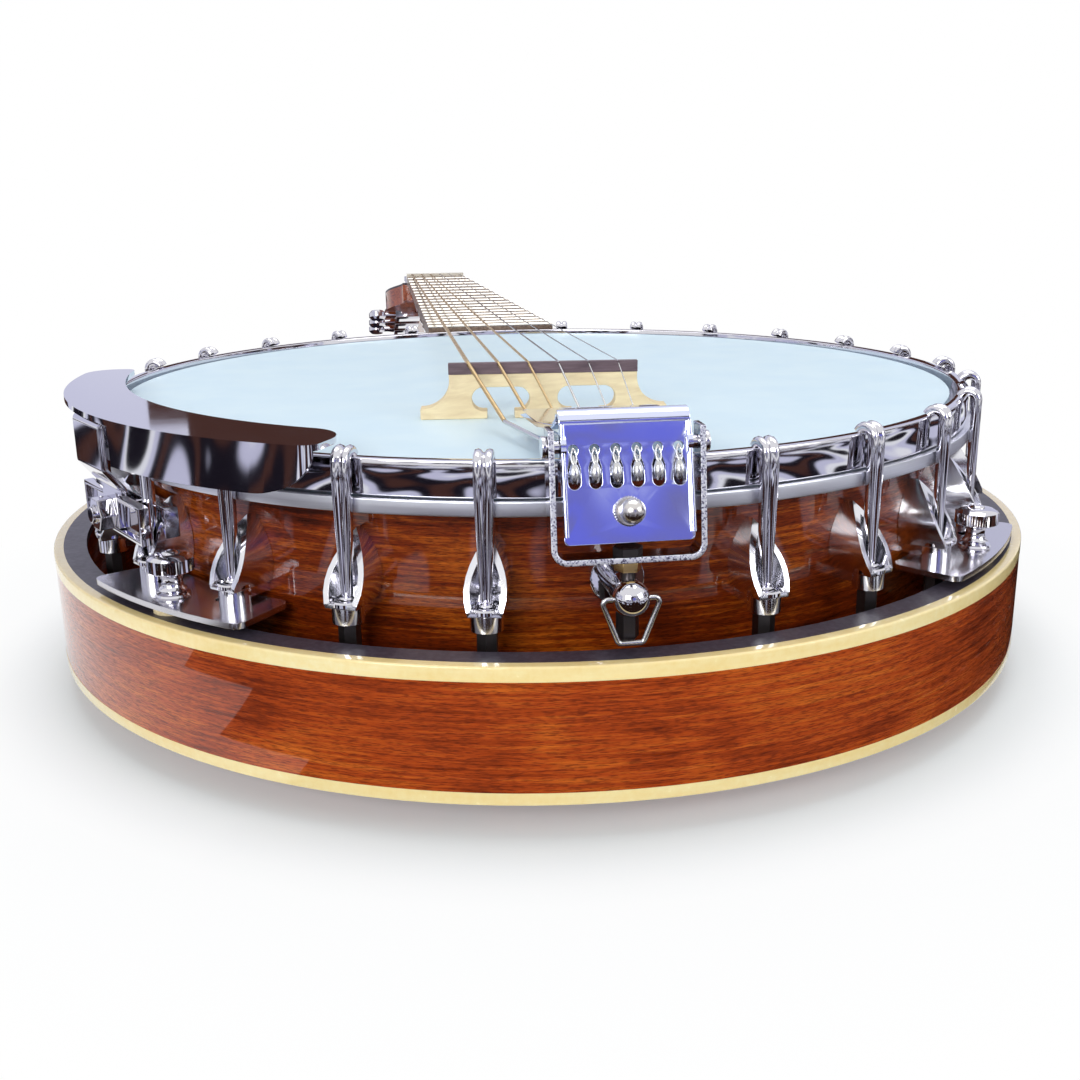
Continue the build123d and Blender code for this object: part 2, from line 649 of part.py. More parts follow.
# ---------------------------------------------------------------- tailpiece
def tail_profile():
    """Middle line of the bent sheet, in (y, z)."""
    lean = radians(TAIL_TILT)
    knee = (PIVOT_Y + TAIL_KNEE_BACK, PIVOT_Z + TAIL_KNEE_UP)
    foot = (knee[0] - sin(lean) * TAIL_PLATE_H, knee[1] - cos(lean) * TAIL_PLATE_H)
    far = (knee[0] + 2 * TAIL_FOLD_R, knee[1])
    crown = (knee[0] + TAIL_FOLD_R, knee[1] + TAIL_FOLD_R + 0.4)
    bend = (far[0] + LEAF_STEP, knee[1] - LEAF_FALL)
    tip = (bend[0] + TAIL_LEAF_L, knee[1] - LEAF_DROP)
    return foot, knee, crown, far, bend, tip


def tailpiece_plate():
    """Keyhole plate whose top edge folds over into a pressure leaf."""
    foot, knee, crown, far, bend, tip = tail_profile()
    with BuildSketch(Plane.YZ) as sheet:
        with BuildLine() as middle:
            Line(foot, knee)
            ThreePointArc(knee, crown, far)
            Line(far, bend)
            Line(bend, tip)
        trace(middle.line, TAIL_SHEET_T)
    body = extrude(sheet.sketch, TAIL_LEAF_W / 2, both=True)
    half = TAIL_PLATE_W / 2
    wide = TAIL_LEAF_W / 2
    narrow_y = foot[0] - TAIL_FOLD_R
    flare_y = far[0] + LEAF_CORNER
    wide_y = bend[0] + 4 * LEAF_CORNER
    corner_y = tip[0] - LEAF_CORNER
    inset = wide - LEAF_CORNER
    plan = make_face(Polyline((-half, narrow_y), (half, narrow_y), (half, flare_y),
                              (wide, wide_y), (wide, corner_y), (inset, tip[0]),
                              (-inset, tip[0]), (-wide, corner_y), (-wide, wide_y),
                              (-half, flare_y), close=True))
    body &= Pos(0, 0, foot[1] - TAIL_FOLD_R) * extrude(plan, 2 * TAIL_PLATE_H)
    body += [edge_flange(), mirror(edge_flange(), Plane.YZ)]
    pin_hole = rod((-wide, PIVOT_Y, PIVOT_Z), (wide, PIVOT_Y, PIVOT_Z), PIN_R + FIT)
    return body - pin_hole - keyholes() - press_hole()


def edge_flange():
    """Raised rail along the plate's edge, with an ear round the pin."""
    foot, knee = tail_profile()[:2]
    lean = radians(TAIL_TILT)
    out = (-RAIL_H * cos(lean), RAIL_H * sin(lean))
    rail = make_face(Polyline(foot, knee, (knee[0] + out[0], knee[1] + out[1]),
                              (foot[0] + out[0], foot[1] + out[1]), close=True))
    rail += Pos(PIVOT_Y, PIVOT_Z) * Circle(PIN_R + TAIL_SHEET_T)
    return extrude(Plane.YZ.offset(TAIL_PLATE_W / 2 - TAIL_SHEET_T) * rail, TAIL_SHEET_T)


def on_tail_plate(along):
    """Middle-surface frame of the leaning plate, a distance up from its foot."""
    foot, knee = tail_profile()[:2]
    up = (Vector(0, *knee) - Vector(0, *foot)).normalized()
    return Plane(origin=Vector(0, *foot) + up * along, x_dir=(1, 0, 0),
                 z_dir=Vector(1, 0, 0).cross(up))


def string_x(i, spread):
    return (i / (STRINGS - 1) - 0.5) * spread


def keyholes():
    frame = on_tail_plate(KEYHOLE_ALONG)
    cuts = []
    for i in range(STRINGS):
        x = string_x(i, KEYHOLE_PITCH * (STRINGS - 1))
        slot = Pos(x, 0) * Rot(0, 0, 90) * SlotOverall(KEYHOLE_L, KEYHOLE_W)
        cuts.append(extrude(frame * slot, 2 * TAIL_SHEET_T, both=True))
    return cuts


def press_hole():
    return extrude(on_tail_plate(PRESS_ALONG) * Circle(PRESS_SCREW_R + FIT), 4, both=True)


def tailpiece_press_screw():
    """Domed thumb screw that sets the lean of the plate against the flesh hoop."""
    frame = on_tail_plate(PRESS_ALONG)
    out = frame.z_dir if frame.z_dir.Y < 0 else frame.z_dir * -1
    start = frame.origin
    reach = (start.Y + BAND_R + PRESS_STANDOFF) / out.Y
    tip = start - out * reach
    head = start + out * PRESS_SCREW_R
    knob = head + out * PRESS_KNOB_L
    shank = rod(tuple(tip), tuple(head), PRESS_SCREW_R)
    body = rod(tuple(head), tuple(knob), PRESS_KNOB_R)
    dome = Plane(origin=knob, z_dir=out) * Sphere(PRESS_KNOB_R - 0.4, arc_size1=0)
    return shank + body + dome


def tailpiece_stirrup():
    """Flat strap bent into a U; its arms lean in from the hanger screw to the pivot pins."""
    high = PIVOT_Z + STIRRUP_ABOVE
    tall = high - STIRRUP_Z
    outer = Rectangle(STIRRUP_W, tall)
    outer = fillet(outer.vertices().sort_by(Axis.Y)[:2], STIRRUP_BEND_R)
    inner = Pos(0, STIRRUP_T) * Rectangle(STIRRUP_W - 2 * STIRRUP_T, tall)
    inner = fillet(inner.vertices().sort_by(Axis.Y)[:2], STIRRUP_BEND_R - STIRRUP_T)
    face = Plane.XZ.offset(-PIVOT_Y) * Pos(0, (STIRRUP_Z + high) / 2) * (outer - inner)
    strap = extrude(face, 2 * STIRRUP_W, both=True)
    top_y = PIVOT_Y + HANGER_OUT * STIRRUP_ABOVE / STIRRUP_DROP
    half = STIRRUP_D / 2
    side = make_face(Polyline((HANGER_Y - half, STIRRUP_Z), (HANGER_Y + half, STIRRUP_Z),
                              (top_y + half, high), (top_y - half, high), close=True))
    strap &= extrude(Plane.YZ * side, STIRRUP_W, both=True)
    strap -= rod((-STIRRUP_W, PIVOT_Y, PIVOT_Z), (STIRRUP_W, PIVOT_Y, PIVOT_Z), PIN_R + FIT)
    floor = (0, HANGER_Y, STIRRUP_Z)
    return strap - rod(floor, (0, HANGER_Y, STIRRUP_Z + STIRRUP_T), HANGER_R + FIT)


def pivot_pin(side):
    """Headed pin through an arm of the stirrup and an ear of the plate."""
    half = side * STIRRUP_W / 2
    inside = side * (TAIL_PLATE_W / 2 - TAIL_SHEET_T)
    outside = half + side * PIN_HEAD_T
    shank = rod((inside, PIVOT_Y, PIVOT_Z), (half, PIVOT_Y, PIVOT_Z), PIN_R)
    return shank + rod((half, PIVOT_Y, PIVOT_Z), (outside, PIVOT_Y, PIVOT_Z), PIN_HEAD_R)


# ---------------------------------------------------------------- armrest
def arm_outline():
    """Crescent between the head's edge and an outer arc, with rounded ends."""
    reach = 3 * RESONATOR_R
    limits = [(0, 0)]
    for share in (0, 0.5, 1):
        limits.append(polar(reach, bass_angle(ARM_START + share * (ARM_END - ARM_START))))
    wedge = make_face(Polyline(*limits, close=True))
    crescent = (Pos(ARM_ARC_X, ARM_ARC_Y) * Circle(ARM_ARC_R) - Circle(ARM_IN_R)) & wedge
    outside = RESONATOR_R
    corners = ((ARM_IN_R, ARM_START, ARM_WIDE_CORNER), (outside, ARM_START, ARM_SMALL_CORNER),
               (ARM_IN_R, ARM_END, ARM_SMALL_CORNER), (outside, ARM_END, ARM_FAR_CORNER))
    for radius, angle, corner in corners:
        place = polar(radius, bass_angle(angle))
        crescent = fillet(crescent.vertices().sort_by_distance((*place, 0))[0], corner)
    return crescent


def armrest_plate():
    """Flat top with an apron that hangs from the outer edge."""
    top = HOOP_Z + ARM_ABOVE_HOOP
    outline = arm_outline()
    plate = Pos(0, 0, top - ARM_T) * extrude(outline, ARM_T)
    skirt = outline - Pos(ARM_ARC_X, ARM_ARC_Y) * Circle(ARM_ARC_R - ARM_T)
    skirt -= Circle(BOSS_FRONT_R + APRON_GAP)
    far = 3 * RESONATOR_R
    keep = make_face(Polyline((0, 0), (0, -far), polar(far, bass_angle(APRON_END)), close=True))
    apron = Pos(0, 0, top - APRON_H) * extrude(skirt & keep, APRON_H)
    return plate + (apron & apron_side_view(top))


def apron_side_view(top):
    """Rounds the apron's lower corner at the armrest's tail end."""
    tall = APRON_H + ARM_T
    long = RESONATOR_R
    view = Pos(-long / 2, top - APRON_H + tall / 2) * Rectangle(long, tall)
    corner = view.vertices().sort_by(Axis.X)[-2:].sort_by(Axis.Y)[0]
    view = fillet(corner, APRON_CORNER)
    edge = Plane(origin=(0, 0, 0), x_dir=(0, 1, 0), z_dir=(1, 0, 0))
    return Rot(0, 0, bass_angle(ARM_START)) * extrude(edge * view, 3 * RESONATOR_R)


def clamp_length(radius):
    return 2 * radius * sin(radians(CLAMP_SPAN / 2))


def armrest_clamp():
    """Channel across two hooks, open outwards."""
    half = clamp_length(CLAMP_IN_R) / 2
    chord = clamp_face_r()
    low = CLAMP_TOP - CLAMP_H
    outside = chord + CLAMP_T + 1
    foot_half = STRAP_FOOT_W / 2 + BAR_GAP
    body = block((chord, chord + CLAMP_T), (-half, half), (low, CLAMP_TOP))
    hollow = block((chord + CLAMP_WALL, outside), (-half + CLAMP_WALL, half - CLAMP_WALL),
                   (low + CLAMP_WALL, CLAMP_TOP - CLAMP_WALL))
    notch = block((chord + CLAMP_WALL, outside), (-foot_half, foot_half),
                  (CLAMP_TOP - CLAMP_WALL - 1, CLAMP_TOP + 1))
    channel = body - hollow - notch - clamp_hole()
    return at_angle(channel, station_angle(CLAMP_STATION))


def clamp_face_r():
    """Back of the clamp, a flat that passes outside its two rods."""
    return CLAMP_IN_R * cos(radians(STEP / 2)) + FACE_GAP


def jaw_face_r():
    """Front of the jaw, a flat that passes inside its two rods."""
    return JAW_OUT_R * cos(radians(STEP / 2)) - FACE_GAP


def clamp_hole():
    z = CLAMP_TOP - CLAMP_H / 2
    return rod((RIM_R, 0, z), (RESONATOR_R, 0, z), CLAMP_BOLT_R + FIT)


def armrest_jaw():
    """Bar behind the two hooks, relieved over the tips of their shoes."""
    half = clamp_length(JAW_OUT_R) / 2
    front = jaw_face_r()
    bar = block((front - JAW_T, front), (-half, half), (CLAMP_TOP - CLAMP_H + 1, CLAMP_TOP - 1))
    relief = extrude(Plane.YZ.offset(RIM_R) * shoe_outline(SEAT_GAP), HOOP_R - RIM_R + 3)
    for side in (-1, 1):
        bar -= at_angle(relief, side * STEP / 2)
    return at_angle(bar - clamp_hole(), station_angle(CLAMP_STATION))


def clamp_seat_r():
    """Where the strap's foot lies on the clamp's web."""
    return clamp_face_r() + CLAMP_WALL


def armrest_strap():
    """Bent plate that carries the armrest on the clamp."""
    seat = clamp_seat_r()
    top = HOOP_Z + ARM_ABOVE_HOOP - ARM_T
    low = CLAMP_TOP - CLAMP_H + CLAMP_WALL + 0.3
    crest = seat + STRAP_STEP
    bend_z = CLAMP_TOP + STRAP_RISE
    middle_x = seat + STRAP_T / 2
    under = top - STRAP_T / 2
    with BuildSketch(Plane.XZ) as side:
        with BuildLine() as middle:
            FilletPolyline((middle_x, low), (middle_x, bend_z), (crest, bend_z + STRAP_SLOPE_H),
                           (crest, under), (crest - STRAP_SEAT_L, under), radius=STRAP_BEND_R)
        trace(middle.line, STRAP_T)
    strap = extrude(side.sketch, STRAP_W / 2, both=True)
    beside = block((seat - STRAP_T, middle_x + 2 * STRAP_BEND_R), (STRAP_FOOT_W / 2, STRAP_W),
                   (low - 1, CLAMP_TOP + 1.0))
    strap -= [beside, mirror(beside, Plane.XZ)]
    return at_angle(strap - clamp_hole(), station_angle(CLAMP_STATION))


def armrest_bolt():
    """Bolt through jaw, channel and strap."""
    z = CLAMP_TOP - CLAMP_H / 2
    end = clamp_seat_r() + STRAP_T + CLAMP_NUT_H + BOLT_END_L
    bolt = rod((jaw_face_r() - JAW_T, 0, z), (end, 0, z), CLAMP_BOLT_R)
    return at_angle(bolt, station_angle(CLAMP_STATION))


def armrest_nut():
    z = CLAMP_TOP - CLAMP_H / 2
    face = clamp_seat_r() + STRAP_T
    hexagon = RegularPolygon(CLAMP_NUT_AF / 2, 6, major_radius=False) - Circle(CLAMP_BOLT_R + FIT)
    nut = extrude(Plane.YZ.offset(face) * Pos(0, z) * hexagon, CLAMP_NUT_H)
    return at_angle(nut, station_angle(CLAMP_STATION))


# ---------------------------------------------------------------- bridge
def bridge_base():
    """Maple bridge with two oval arches, thinner at the top than at the feet."""
    body_h = BRIDGE_H - CAP_H
    foot = BRIDGE_FOOT_W / 2
    top = BRIDGE_TOP_W / 2
    waist = (foot + top) / 2 - BRIDGE_WAIST
    with BuildSketch() as front:
        with BuildLine():
            Polyline((-foot, BRIDGE_FOOT_H), (-foot, 0), (foot, 0), (foot, BRIDGE_FOOT_H))
            ThreePointArc((foot, BRIDGE_FOOT_H), (waist, body_h * 0.45), (top, body_h))
            Line((top, body_h), (-top, body_h))
            ThreePointArc((-top, body_h), (-waist, body_h * 0.45), (-foot, BRIDGE_FOOT_H))
        make_face()
        with Locations((-ARCH_X, ARCH_Z), (ARCH_X, ARCH_Z)):
            SlotOverall(ARCH_W, ARCH_H, mode=Mode.SUBTRACT)
        with Locations((-ARCH_X, 0), (ARCH_X, 0)):
            Rectangle(ARCH_GAP, ARCH_H, mode=Mode.SUBTRACT)
    slab = extrude(Plane.XZ * front.sketch, BRIDGE_FOOT_T, both=True)
    taper = make_face(Polyline((-BRIDGE_FOOT_T / 2, 0), (BRIDGE_FOOT_T / 2, 0),
                               (BRIDGE_TOP_T / 2, body_h), (-BRIDGE_TOP_T / 2, body_h), close=True))
    slab &= extrude(Plane.YZ * taper, BRIDGE_FOOT_W, both=True)
    return on_bridge(slab)


def on_bridge(shape):
    """Moves a shape built about the bridge's foot to its place on the head."""
    return Pos(BRIDGE_X, BRIDGE_Y, HEAD_Z) * Rot(0, 0, BRIDGE_TURN) * shape


def bridge_cap():
    """Ebony strip with a notch for each string."""
    half = BRIDGE_TOP_W / 2
    cap = block((-half, half), (-BRIDGE_TOP_T / 2, BRIDGE_TOP_T / 2), (BRIDGE_H - CAP_H, BRIDGE_H))
    cap = on_bridge(cap)
    for i, radius in enumerate(WOUND_R + PLAIN_R):
        nut_end, saddle, leaf_end = string_points(i)[2:]
        cap -= [rod(saddle, nut_end, radius + 2 * FIT), rod(saddle, leaf_end, radius + 2 * FIT)]
    return cap


def saddle_point(i):
    """Where a string crosses the bridge."""
    along = string_x(i, BRIDGE_SPREAD)
    turn = radians(BRIDGE_TURN)
    return BRIDGE_X + along * cos(turn), BRIDGE_Y + along * sin(turn), BRIDGE_TOP_Z


# ---------------------------------------------------------------- neck
def board_half(y):
    """Half-width of the fingerboard at a place along it."""
    share = (y - BOARD_Y) / (NUT_Y - BOARD_Y)
    return (BOARD_POT_W + share * (BOARD_NUT_W - BOARD_POT_W)) / 2


def d_section(y, half_width, depth):
    """Flat-topped, round-backed section of the neck."""
    plane = Plane(origin=(0, y, BOARD_Z), x_dir=(1, 0, 0), z_dir=(0, -1, 0))
    with BuildSketch(plane) as section:
        with BuildLine():
            Line((-half_width, 0), (half_width, 0))
            EllipticalCenterArc((0, 0), half_width, depth, start_angle=180, arc_size=180)
        make_face()
    return section.sketch


def on_neck(shape):
    """Leans a piece of the neck back about the pot end of the board."""
    return (Pos(0, BOARD_Y, BOARD_TOP) * Rot(-NECK_TILT, 0, 0) * Pos(0, -BOARD_Y, -BOARD_TOP)) * shape


def neck():
    """Shaft, heel and headstock in one piece of mahogany."""
    shaft = loft([d_section(RIM_R - 4, board_half(BOARD_Y), NECK_DEPTH_POT),
                  d_section(NUT_Y, board_half(NUT_Y), NECK_DEPTH)], ruled=True)
    body = shaft + heel() + headstock() - truss_slot() - tuner_bores()
    bolt_hole = rod((0, 0, COORD_Z), (0, RIM_R + HEEL_BOLT_IN + 1, COORD_Z), END_BOLT_R + FIT)
    return on_neck(body) - pot_clearance() - bolt_hole


def heel():
    """Lofted foot that comes down to the lip beside the rim."""
    deep = BOARD_Z - LIP_Z - HEEL_GAP
    half = HEEL_W / 2
    return loft([d_section(RIM_R - 4, half, deep), d_section(BOARD_Y + 3, half, deep),
                 d_section(BOARD_Y + HEEL_L * 0.45, half - 1.0, deep * 0.66),
                 d_section(BOARD_Y + HEEL_L, half, NECK_DEPTH_POT - 1.0)])


def pot_clearance():
    """Room for the rim and the two hoops."""
    low = BAND_Z - 0.6
    by_rim = extrude(Circle(RIM_R + 2 * FIT), 2 * HOOP_Z)
    return by_rim + Pos(0, 0, low) * extrude(Circle(BAND_R + 0.3), 2 * HOOP_Z - low)


def head_frame():
    """Frame on the headstock's face, under the overlay, at the nut."""
    return Location((0, HEAD_PIVOT_Y, BOARD_Z), (-HEAD_ANGLE, 0, 0))


def head_outline():
    half = HEAD_W_NUT / 2
    end = HEAD_W_END / 2
    flare = half + HEAD_FLARE
    middle = HEAD_L * 0.48
    corner_y = HEAD_L - HEAD_CORNER
    corner = (end - HEAD_CORNER / 2, HEAD_L - HEAD_CORNER / 3)
    crest = HEAD_CREST_W / 2
    crest_y = HEAD_L - HEAD_CREST_H
    with BuildSketch() as outline:
        with BuildLine():
            Polyline((-half, 0), (-half, -HEAD_TONGUE), (half, -HEAD_TONGUE), (half, 0))
            Spline((half, 0), (flare - 1, HEAD_SHOULDER), (flare, middle), (end, corner_y),
                   tangents=((0.4, 1), (0.1, 1)))
            ThreePointArc((end, corner_y), corner, (crest, crest_y))
            ThreePointArc((crest, crest_y), (0, HEAD_L), (-crest, crest_y))
            ThreePointArc((-crest, crest_y), (-corner[0], corner[1]), (-end, corner_y))
            Spline((-end, corner_y), (-flare, middle), (1 - flare, HEAD_SHOULDER), (-half, 0),
                   tangents=((-0.1, -1), (-0.4, -1)))
        make_face()
    return outline.sketch


def headstock():
    slab = Pos(0, 0, -HEAD_THICK) * extrude(head_outline(), HEAD_THICK)
    slab = head_frame() * slab
    volute = d_section(NUT_Y - VOLUTE_L, board_half(NUT_Y), NECK_DEPTH)
    volute = loft([volute, d_section(NUT_Y + 6, HEAD_W_NUT / 2, NECK_DEPTH + 2.6)], ruled=True)
    above = block((-HEAD_W_END, HEAD_W_END), (NUT_Y - HEAD_W_NUT, NUT_Y + 2 * HEAD_L),
                  (BOARD_Z, BOARD_Z + HEAD_W_NUT))
    return slab + volute - above


def headstock_overlay():
    veneer = extrude(head_outline(), OVERLAY_T)
    veneer -= block((-HEAD_W_NUT, HEAD_W_NUT), (-2 * HEAD_THICK, OVERLAY_T), (-OVERLAY_T, 2 * OVERLAY_T))
    veneer = head_frame() * veneer
    return veneer - tuner_bores()


def fingerboard():
    plan = make_face(Polyline((-board_half(BOARD_Y), BOARD_Y), (board_half(BOARD_Y), BOARD_Y),
                              (board_half(NUT_Y), NUT_Y), (-board_half(NUT_Y), NUT_Y), close=True))
    board = Pos(0, 0, BOARD_Z) * extrude(plan, BOARD_T)
    for x, y in dot_places():
        board -= Pos(x, y, BOARD_TOP - DOT_T) * extrude(Circle(DOT_R), DOT_T)
    return board


def fret_y(n):
    """Place of a fret by equal temperament."""
    return BRIDGE_Y + SCALE / 2 ** (n / 12)


def fret(n):
    y = fret_y(n)
    half = board_half(y)
    crown = Pos(0, 0) * Rectangle(FRET_W, FRET_H)
    crown = chamfer(crown.vertices().sort_by(Axis.Y)[-2:], FRET_H * 0.6)
    face = Plane.YZ.offset(-half) * Pos(y, BOARD_TOP + FRET_H / 2) * crown
    return extrude(face, 2 * half)


def dot_places():
    places = []
    for n in [k for k in (3, 5, 7, 9, 12, 15, 17) if k <= FRETS]:
        y = (fret_y(n) + fret_y(n - 1)) / 2
        places += [(-8.0, y), (8.0, y)] if n == 12 else [(0.0, y)]
    return places


def position_dot(x, y):
    return Pos(x, y, BOARD_TOP - DOT_T) * extrude(Circle(DOT_R), DOT_T)


def nut_string_z():
    return BOARD_TOP + NUT_PROUD


def string_nut():
    """Bone nut with a slot for each string."""
    half = board_half(NUT_Y)
    body = block((-half, half), (NUT_Y, NUT_Y + NUT_L), (BOARD_Z, nut_string_z() + 0.6))
    for i, radius in enumerate(WOUND_R + PLAIN_R):
        x = string_x(i, NUT_SPREAD)
        body -= block((x - radius - FIT, x + radius + FIT), (NUT_Y - 1, NUT_Y + NUT_L + 1),
                      (nut_string_z() - radius - FIT, nut_string_z() + 5))
    return body


def truss_slot():
    return block((-TRUSS_R - 0.2, TRUSS_R + 0.2), (NUT_Y - TRUSS_L, NUT_Y + TRUSS_POCKET_L),
                 (BOARD_Z - 2 * TRUSS_R - 1.4, BOARD_Z))


def truss_rod():
    z = BOARD_Z - TRUSS_R - 0.6
    return rod((0, NUT_Y - TRUSS_L + 2, z), (0, NUT_Y - 1, z), TRUSS_R)


def truss_cover():
    """Bell-shaped plate over the rod's pocket."""
    half = TRUSS_COVER_W / 2
    low = TRUSS_COVER_L * 0.13
    shoulder = TRUSS_COVER_L * 0.35
    waist = TRUSS_COVER_L * 0.67
    tip = low + TRUSS_COVER_L
    with BuildSketch() as outline:
        with BuildLine():
            Polyline((-half, low), (half, low), (half, shoulder))
            ThreePointArc((half, shoulder), (half * 0.42, waist), (0, tip))
            ThreePointArc((0, tip), (-half * 0.42, waist), (-half, shoulder))
            Line((-half, shoulder), (-half, low))
        make_face()
    return head_frame() * (Pos(0, 0, OVERLAY_T) * extrude(outline.sketch, COVER_T))


def neck_bolt():
    """Hanger bolt from the coordinator rod into the heel."""
    return rod((0, RIM_IN_R - BOLT_IN, COORD_Z), (0, RIM_R + HEEL_BOLT_IN, COORD_Z), END_BOLT_R)


# ---------------------------------------------------------------- tuning machines
def tuner_places():
    """(side, distance from the nut) of each machine: bass side first, from the nut out."""
    return [(side, TUNER_FIRST + row * TUNER_PITCH) for side in (-1, 1) for row in range(3)]


def tuner_x(side, along):
    widest = HEAD_W_NUT / 2 + HEAD_FLARE
    return side * (widest - TUNER_INSET)


def tuner_bores():
    cuts = []
    for side, along in tuner_places():
        hole = Pos(tuner_x(side, along), along, -HEAD_THICK - 1) * extrude(
            Circle(BUSH_R - BUSH_FLANGE), HEAD_THICK + OVERLAY_T + 2)
        cuts.append(head_frame() * hole)
    return cuts


def tuner_case(side, along):
    """Sealed gear case under the headstock, with a sleeve up the post hole."""
    x = tuner_x(side, along)
    top = -HEAD_THICK
    case = Box(CASE_L, CASE_W, CASE_H)
    case = fillet(case.edges().group_by(Axis.Z)[0], CASE_CORNER)
    axis_z = top - CASE_H / 2
    case = Pos(x + side * CASE_OUT, along, axis_z) * case
    case -= Pos(x, along, top - CASE_H + CASE_FLOOR) * extrude(Circle(POST_R + FIT), CASE_H)
    shaft = rod((x, along, axis_z), (x + side * CASE_L, along, axis_z), SHAFT_R + FIT)
    return head_frame() * (case - block_around(shaft, x, side))


def block_around(shaft, x, side):
    """The worm shaft's bore starts clear of the post."""
    far = 3 * HEAD_L
    return shaft - block(sorted((x - side * CASE_W, x + side * (POST_R + 1.0))), (-far, far), (-far, far))


def tuner_bush(side, along):
    x = tuner_x(side, along)
    z = OVERLAY_T
    collar = Pos(x, along, z) * extrude(RegularPolygon(BUSH_R, 6), BUSH_H)
    sleeve = Pos(x, along, -HEAD_THICK + 0.2) * extrude(Circle(BUSH_R - BUSH_FLANGE - FIT), HEAD_THICK + z)
    bore = Pos(x, along, -2 * HEAD_THICK) * extrude(Circle(POST_R + FIT), 4 * HEAD_THICK)
    return head_frame() * (collar + sleeve - bore)


def tuner_post(side, along):
    x = tuner_x(side, along)
    low = -HEAD_THICK - CASE_H + CASE_FLOOR + FIT
    height = OVERLAY_T + POST_ABOVE - low
    post = Pos(x, along, low) * extrude(Circle(POST_R), height)
    waist_z = OVERLAY_T + POST_ABOVE - POST_WAIST_BELOW
    groove = Circle(POST_R + 1) - Circle(POST_R - POST_WAIST_DEEP)
    post -= Pos(x, along, waist_z) * extrude(groove, POST_WAIST_L)
    return head_frame() * post


def tuner_button(side, along):
    """Worm shaft with its oval button."""
    z = -HEAD_THICK - CASE_H / 2
    start = tuner_x(side, along) + side * (POST_R + SHAFT_START)
    end = tuner_x(side, along) + side * (CASE_OUT + CASE_L / 2 + SHAFT_OUT)
    shaft = rod((start, along, z), (end, along, z), SHAFT_R)
    oval = extrude(Ellipse(BUTTON_H / 2, BUTTON_W / 2), BUTTON_T / 2, both=True)
    oval = chamfer(oval.edges().filter_by(GeomType.ELLIPSE), BUTTON_BEVEL)
    return head_frame() * (shaft + Pos(end + side * (BUTTON_H / 2 - BUTTON_SOCKET), along, z) * oval)


# ---------------------------------------------------------------- strings
def string_radii():
    return WOUND_R + PLAIN_R


def post_string_point(i):
    """Where a string meets its post: side by side in the usual order."""
    side = -1 if i < STRINGS // 2 else 1
    row = i if side < 0 else STRINGS - 1 - i
    along = TUNER_FIRST + row * TUNER_PITCH
    x = tuner_x(side, along) - side * (POST_R - POST_WAIST_DEEP + LEAF_GAP + string_radii()[i])
    waist_middle = POST_WAIST_BELOW - POST_WAIST_L / 2
    spot = on_neck(head_frame() * Pos(x, along, OVERLAY_T + POST_ABOVE - waist_middle))
    return tuple(spot.position)


def leaf_point(i):
    """Where a string passes under the edge of the pressure leaf."""
    tip = tail_profile()[5]
    slot = string_x(i, KEYHOLE_PITCH * (STRINGS - 1))
    x, y, z = saddle_point(i)
    share = (tip[0] - y) / (PIVOT_Y - y)
    drop = TAIL_SHEET_T / 2 + string_radii()[i] + LEAF_GAP
    return x + share * (slot - x), tip[0] - 0.1, tip[1] - drop


def string_points(i):
    """Post, back of the nut, front of the nut, bridge and pressure leaf."""
    x = string_x(i, NUT_SPREAD)
    nut_end = tuple(on_neck(Pos(x, NUT_Y, nut_string_z())).position)
    nut_back = tuple(on_neck(Pos(x, NUT_Y + NUT_L, nut_string_z())).position)
    return [post_string_point(i), nut_back, nut_end, saddle_point(i), leaf_point(i)]


def wire(points, radius):
    """Round wire through the points, with a small bend at each."""
    places = [Vector(*point) for point in points]
    pieces = []
    start = places[0]
    for corner, after in zip(places[1:], places[2:]):
        into = (corner - start).normalized()
        out = (after - corner).normalized()
        pieces.append(Line(start, corner - into * BEND_CUT))
        pieces.append(TangentArc(corner - into * BEND_CUT, corner + out * BEND_CUT, tangent=into))
        start = corner + out * BEND_CUT
    pieces.append(Line(start, places[-1]))
    path = Wire(pieces)
    return sweep(Plane(origin=path @ 0, z_dir=path % 0) * Circle(radius), path)


def long_string(i):
    return wire(string_points(i), string_radii()[i])


def string_tail(i):
    """From the leaf to the keyhole, with the ball end that holds it there."""
    x, y, z = leaf_point(i)
    slot_x = string_x(i, KEYHOLE_PITCH * (STRINGS - 1))
    frame = on_tail_plate(KEYHOLE_ALONG)
    reach = KEYHOLE_L / 2 - KEYHOLE_W / 2
    radius = string_radii()[i]
    proud = BALL_PROUD if frame.z_dir.Y < 0 else -BALL_PROUD
    low, high, top = [tuple((frame * Pos(slot_x, along, out)).position)
                      for along, out in ((-reach, proud), (BALL_L - reach, proud), (reach, 0))]
    start = (x, y - radius - TAIL_STRING_GAP, z)
    return wire([start, top, high], radius) + ball_end(low, high)


def ball_end(low, high):
    """Egg-shaped barrel between two points."""
    axis = Vector(*high) - Vector(*low)
    with BuildSketch() as half:
        with BuildLine():
            Polyline((BALL_END_R, 0), (0, 0), (0, BALL_L), (BALL_END_R, BALL_L))
            ThreePointArc((BALL_END_R, BALL_L), (BALL_R, BALL_L * 0.45), (BALL_END_R, 0))
        make_face()
    egg = revolve(Plane.XZ * half.sketch, Axis.Z)
    return Plane(origin=low, z_dir=axis) * egg


# ---------------------------------------------------------------- writing the parts
def as_list(shape):
    return shape if isinstance(shape, list) else [shape]


def flatten(solids):
    """Every separate solid in a list of shapes."""
    found = []
    for shape in as_list(solids):
        found += list(shape.solids())
    return found


def write(name, solids):
    pieces = flatten(solids)
    export_step(Compound(children=pieces) if len(pieces) > 1 else pieces[0], f"parts/{name}.step")


def round_the_pot(solid, angles):
    return [at_angle(solid, angle) for angle in angles]


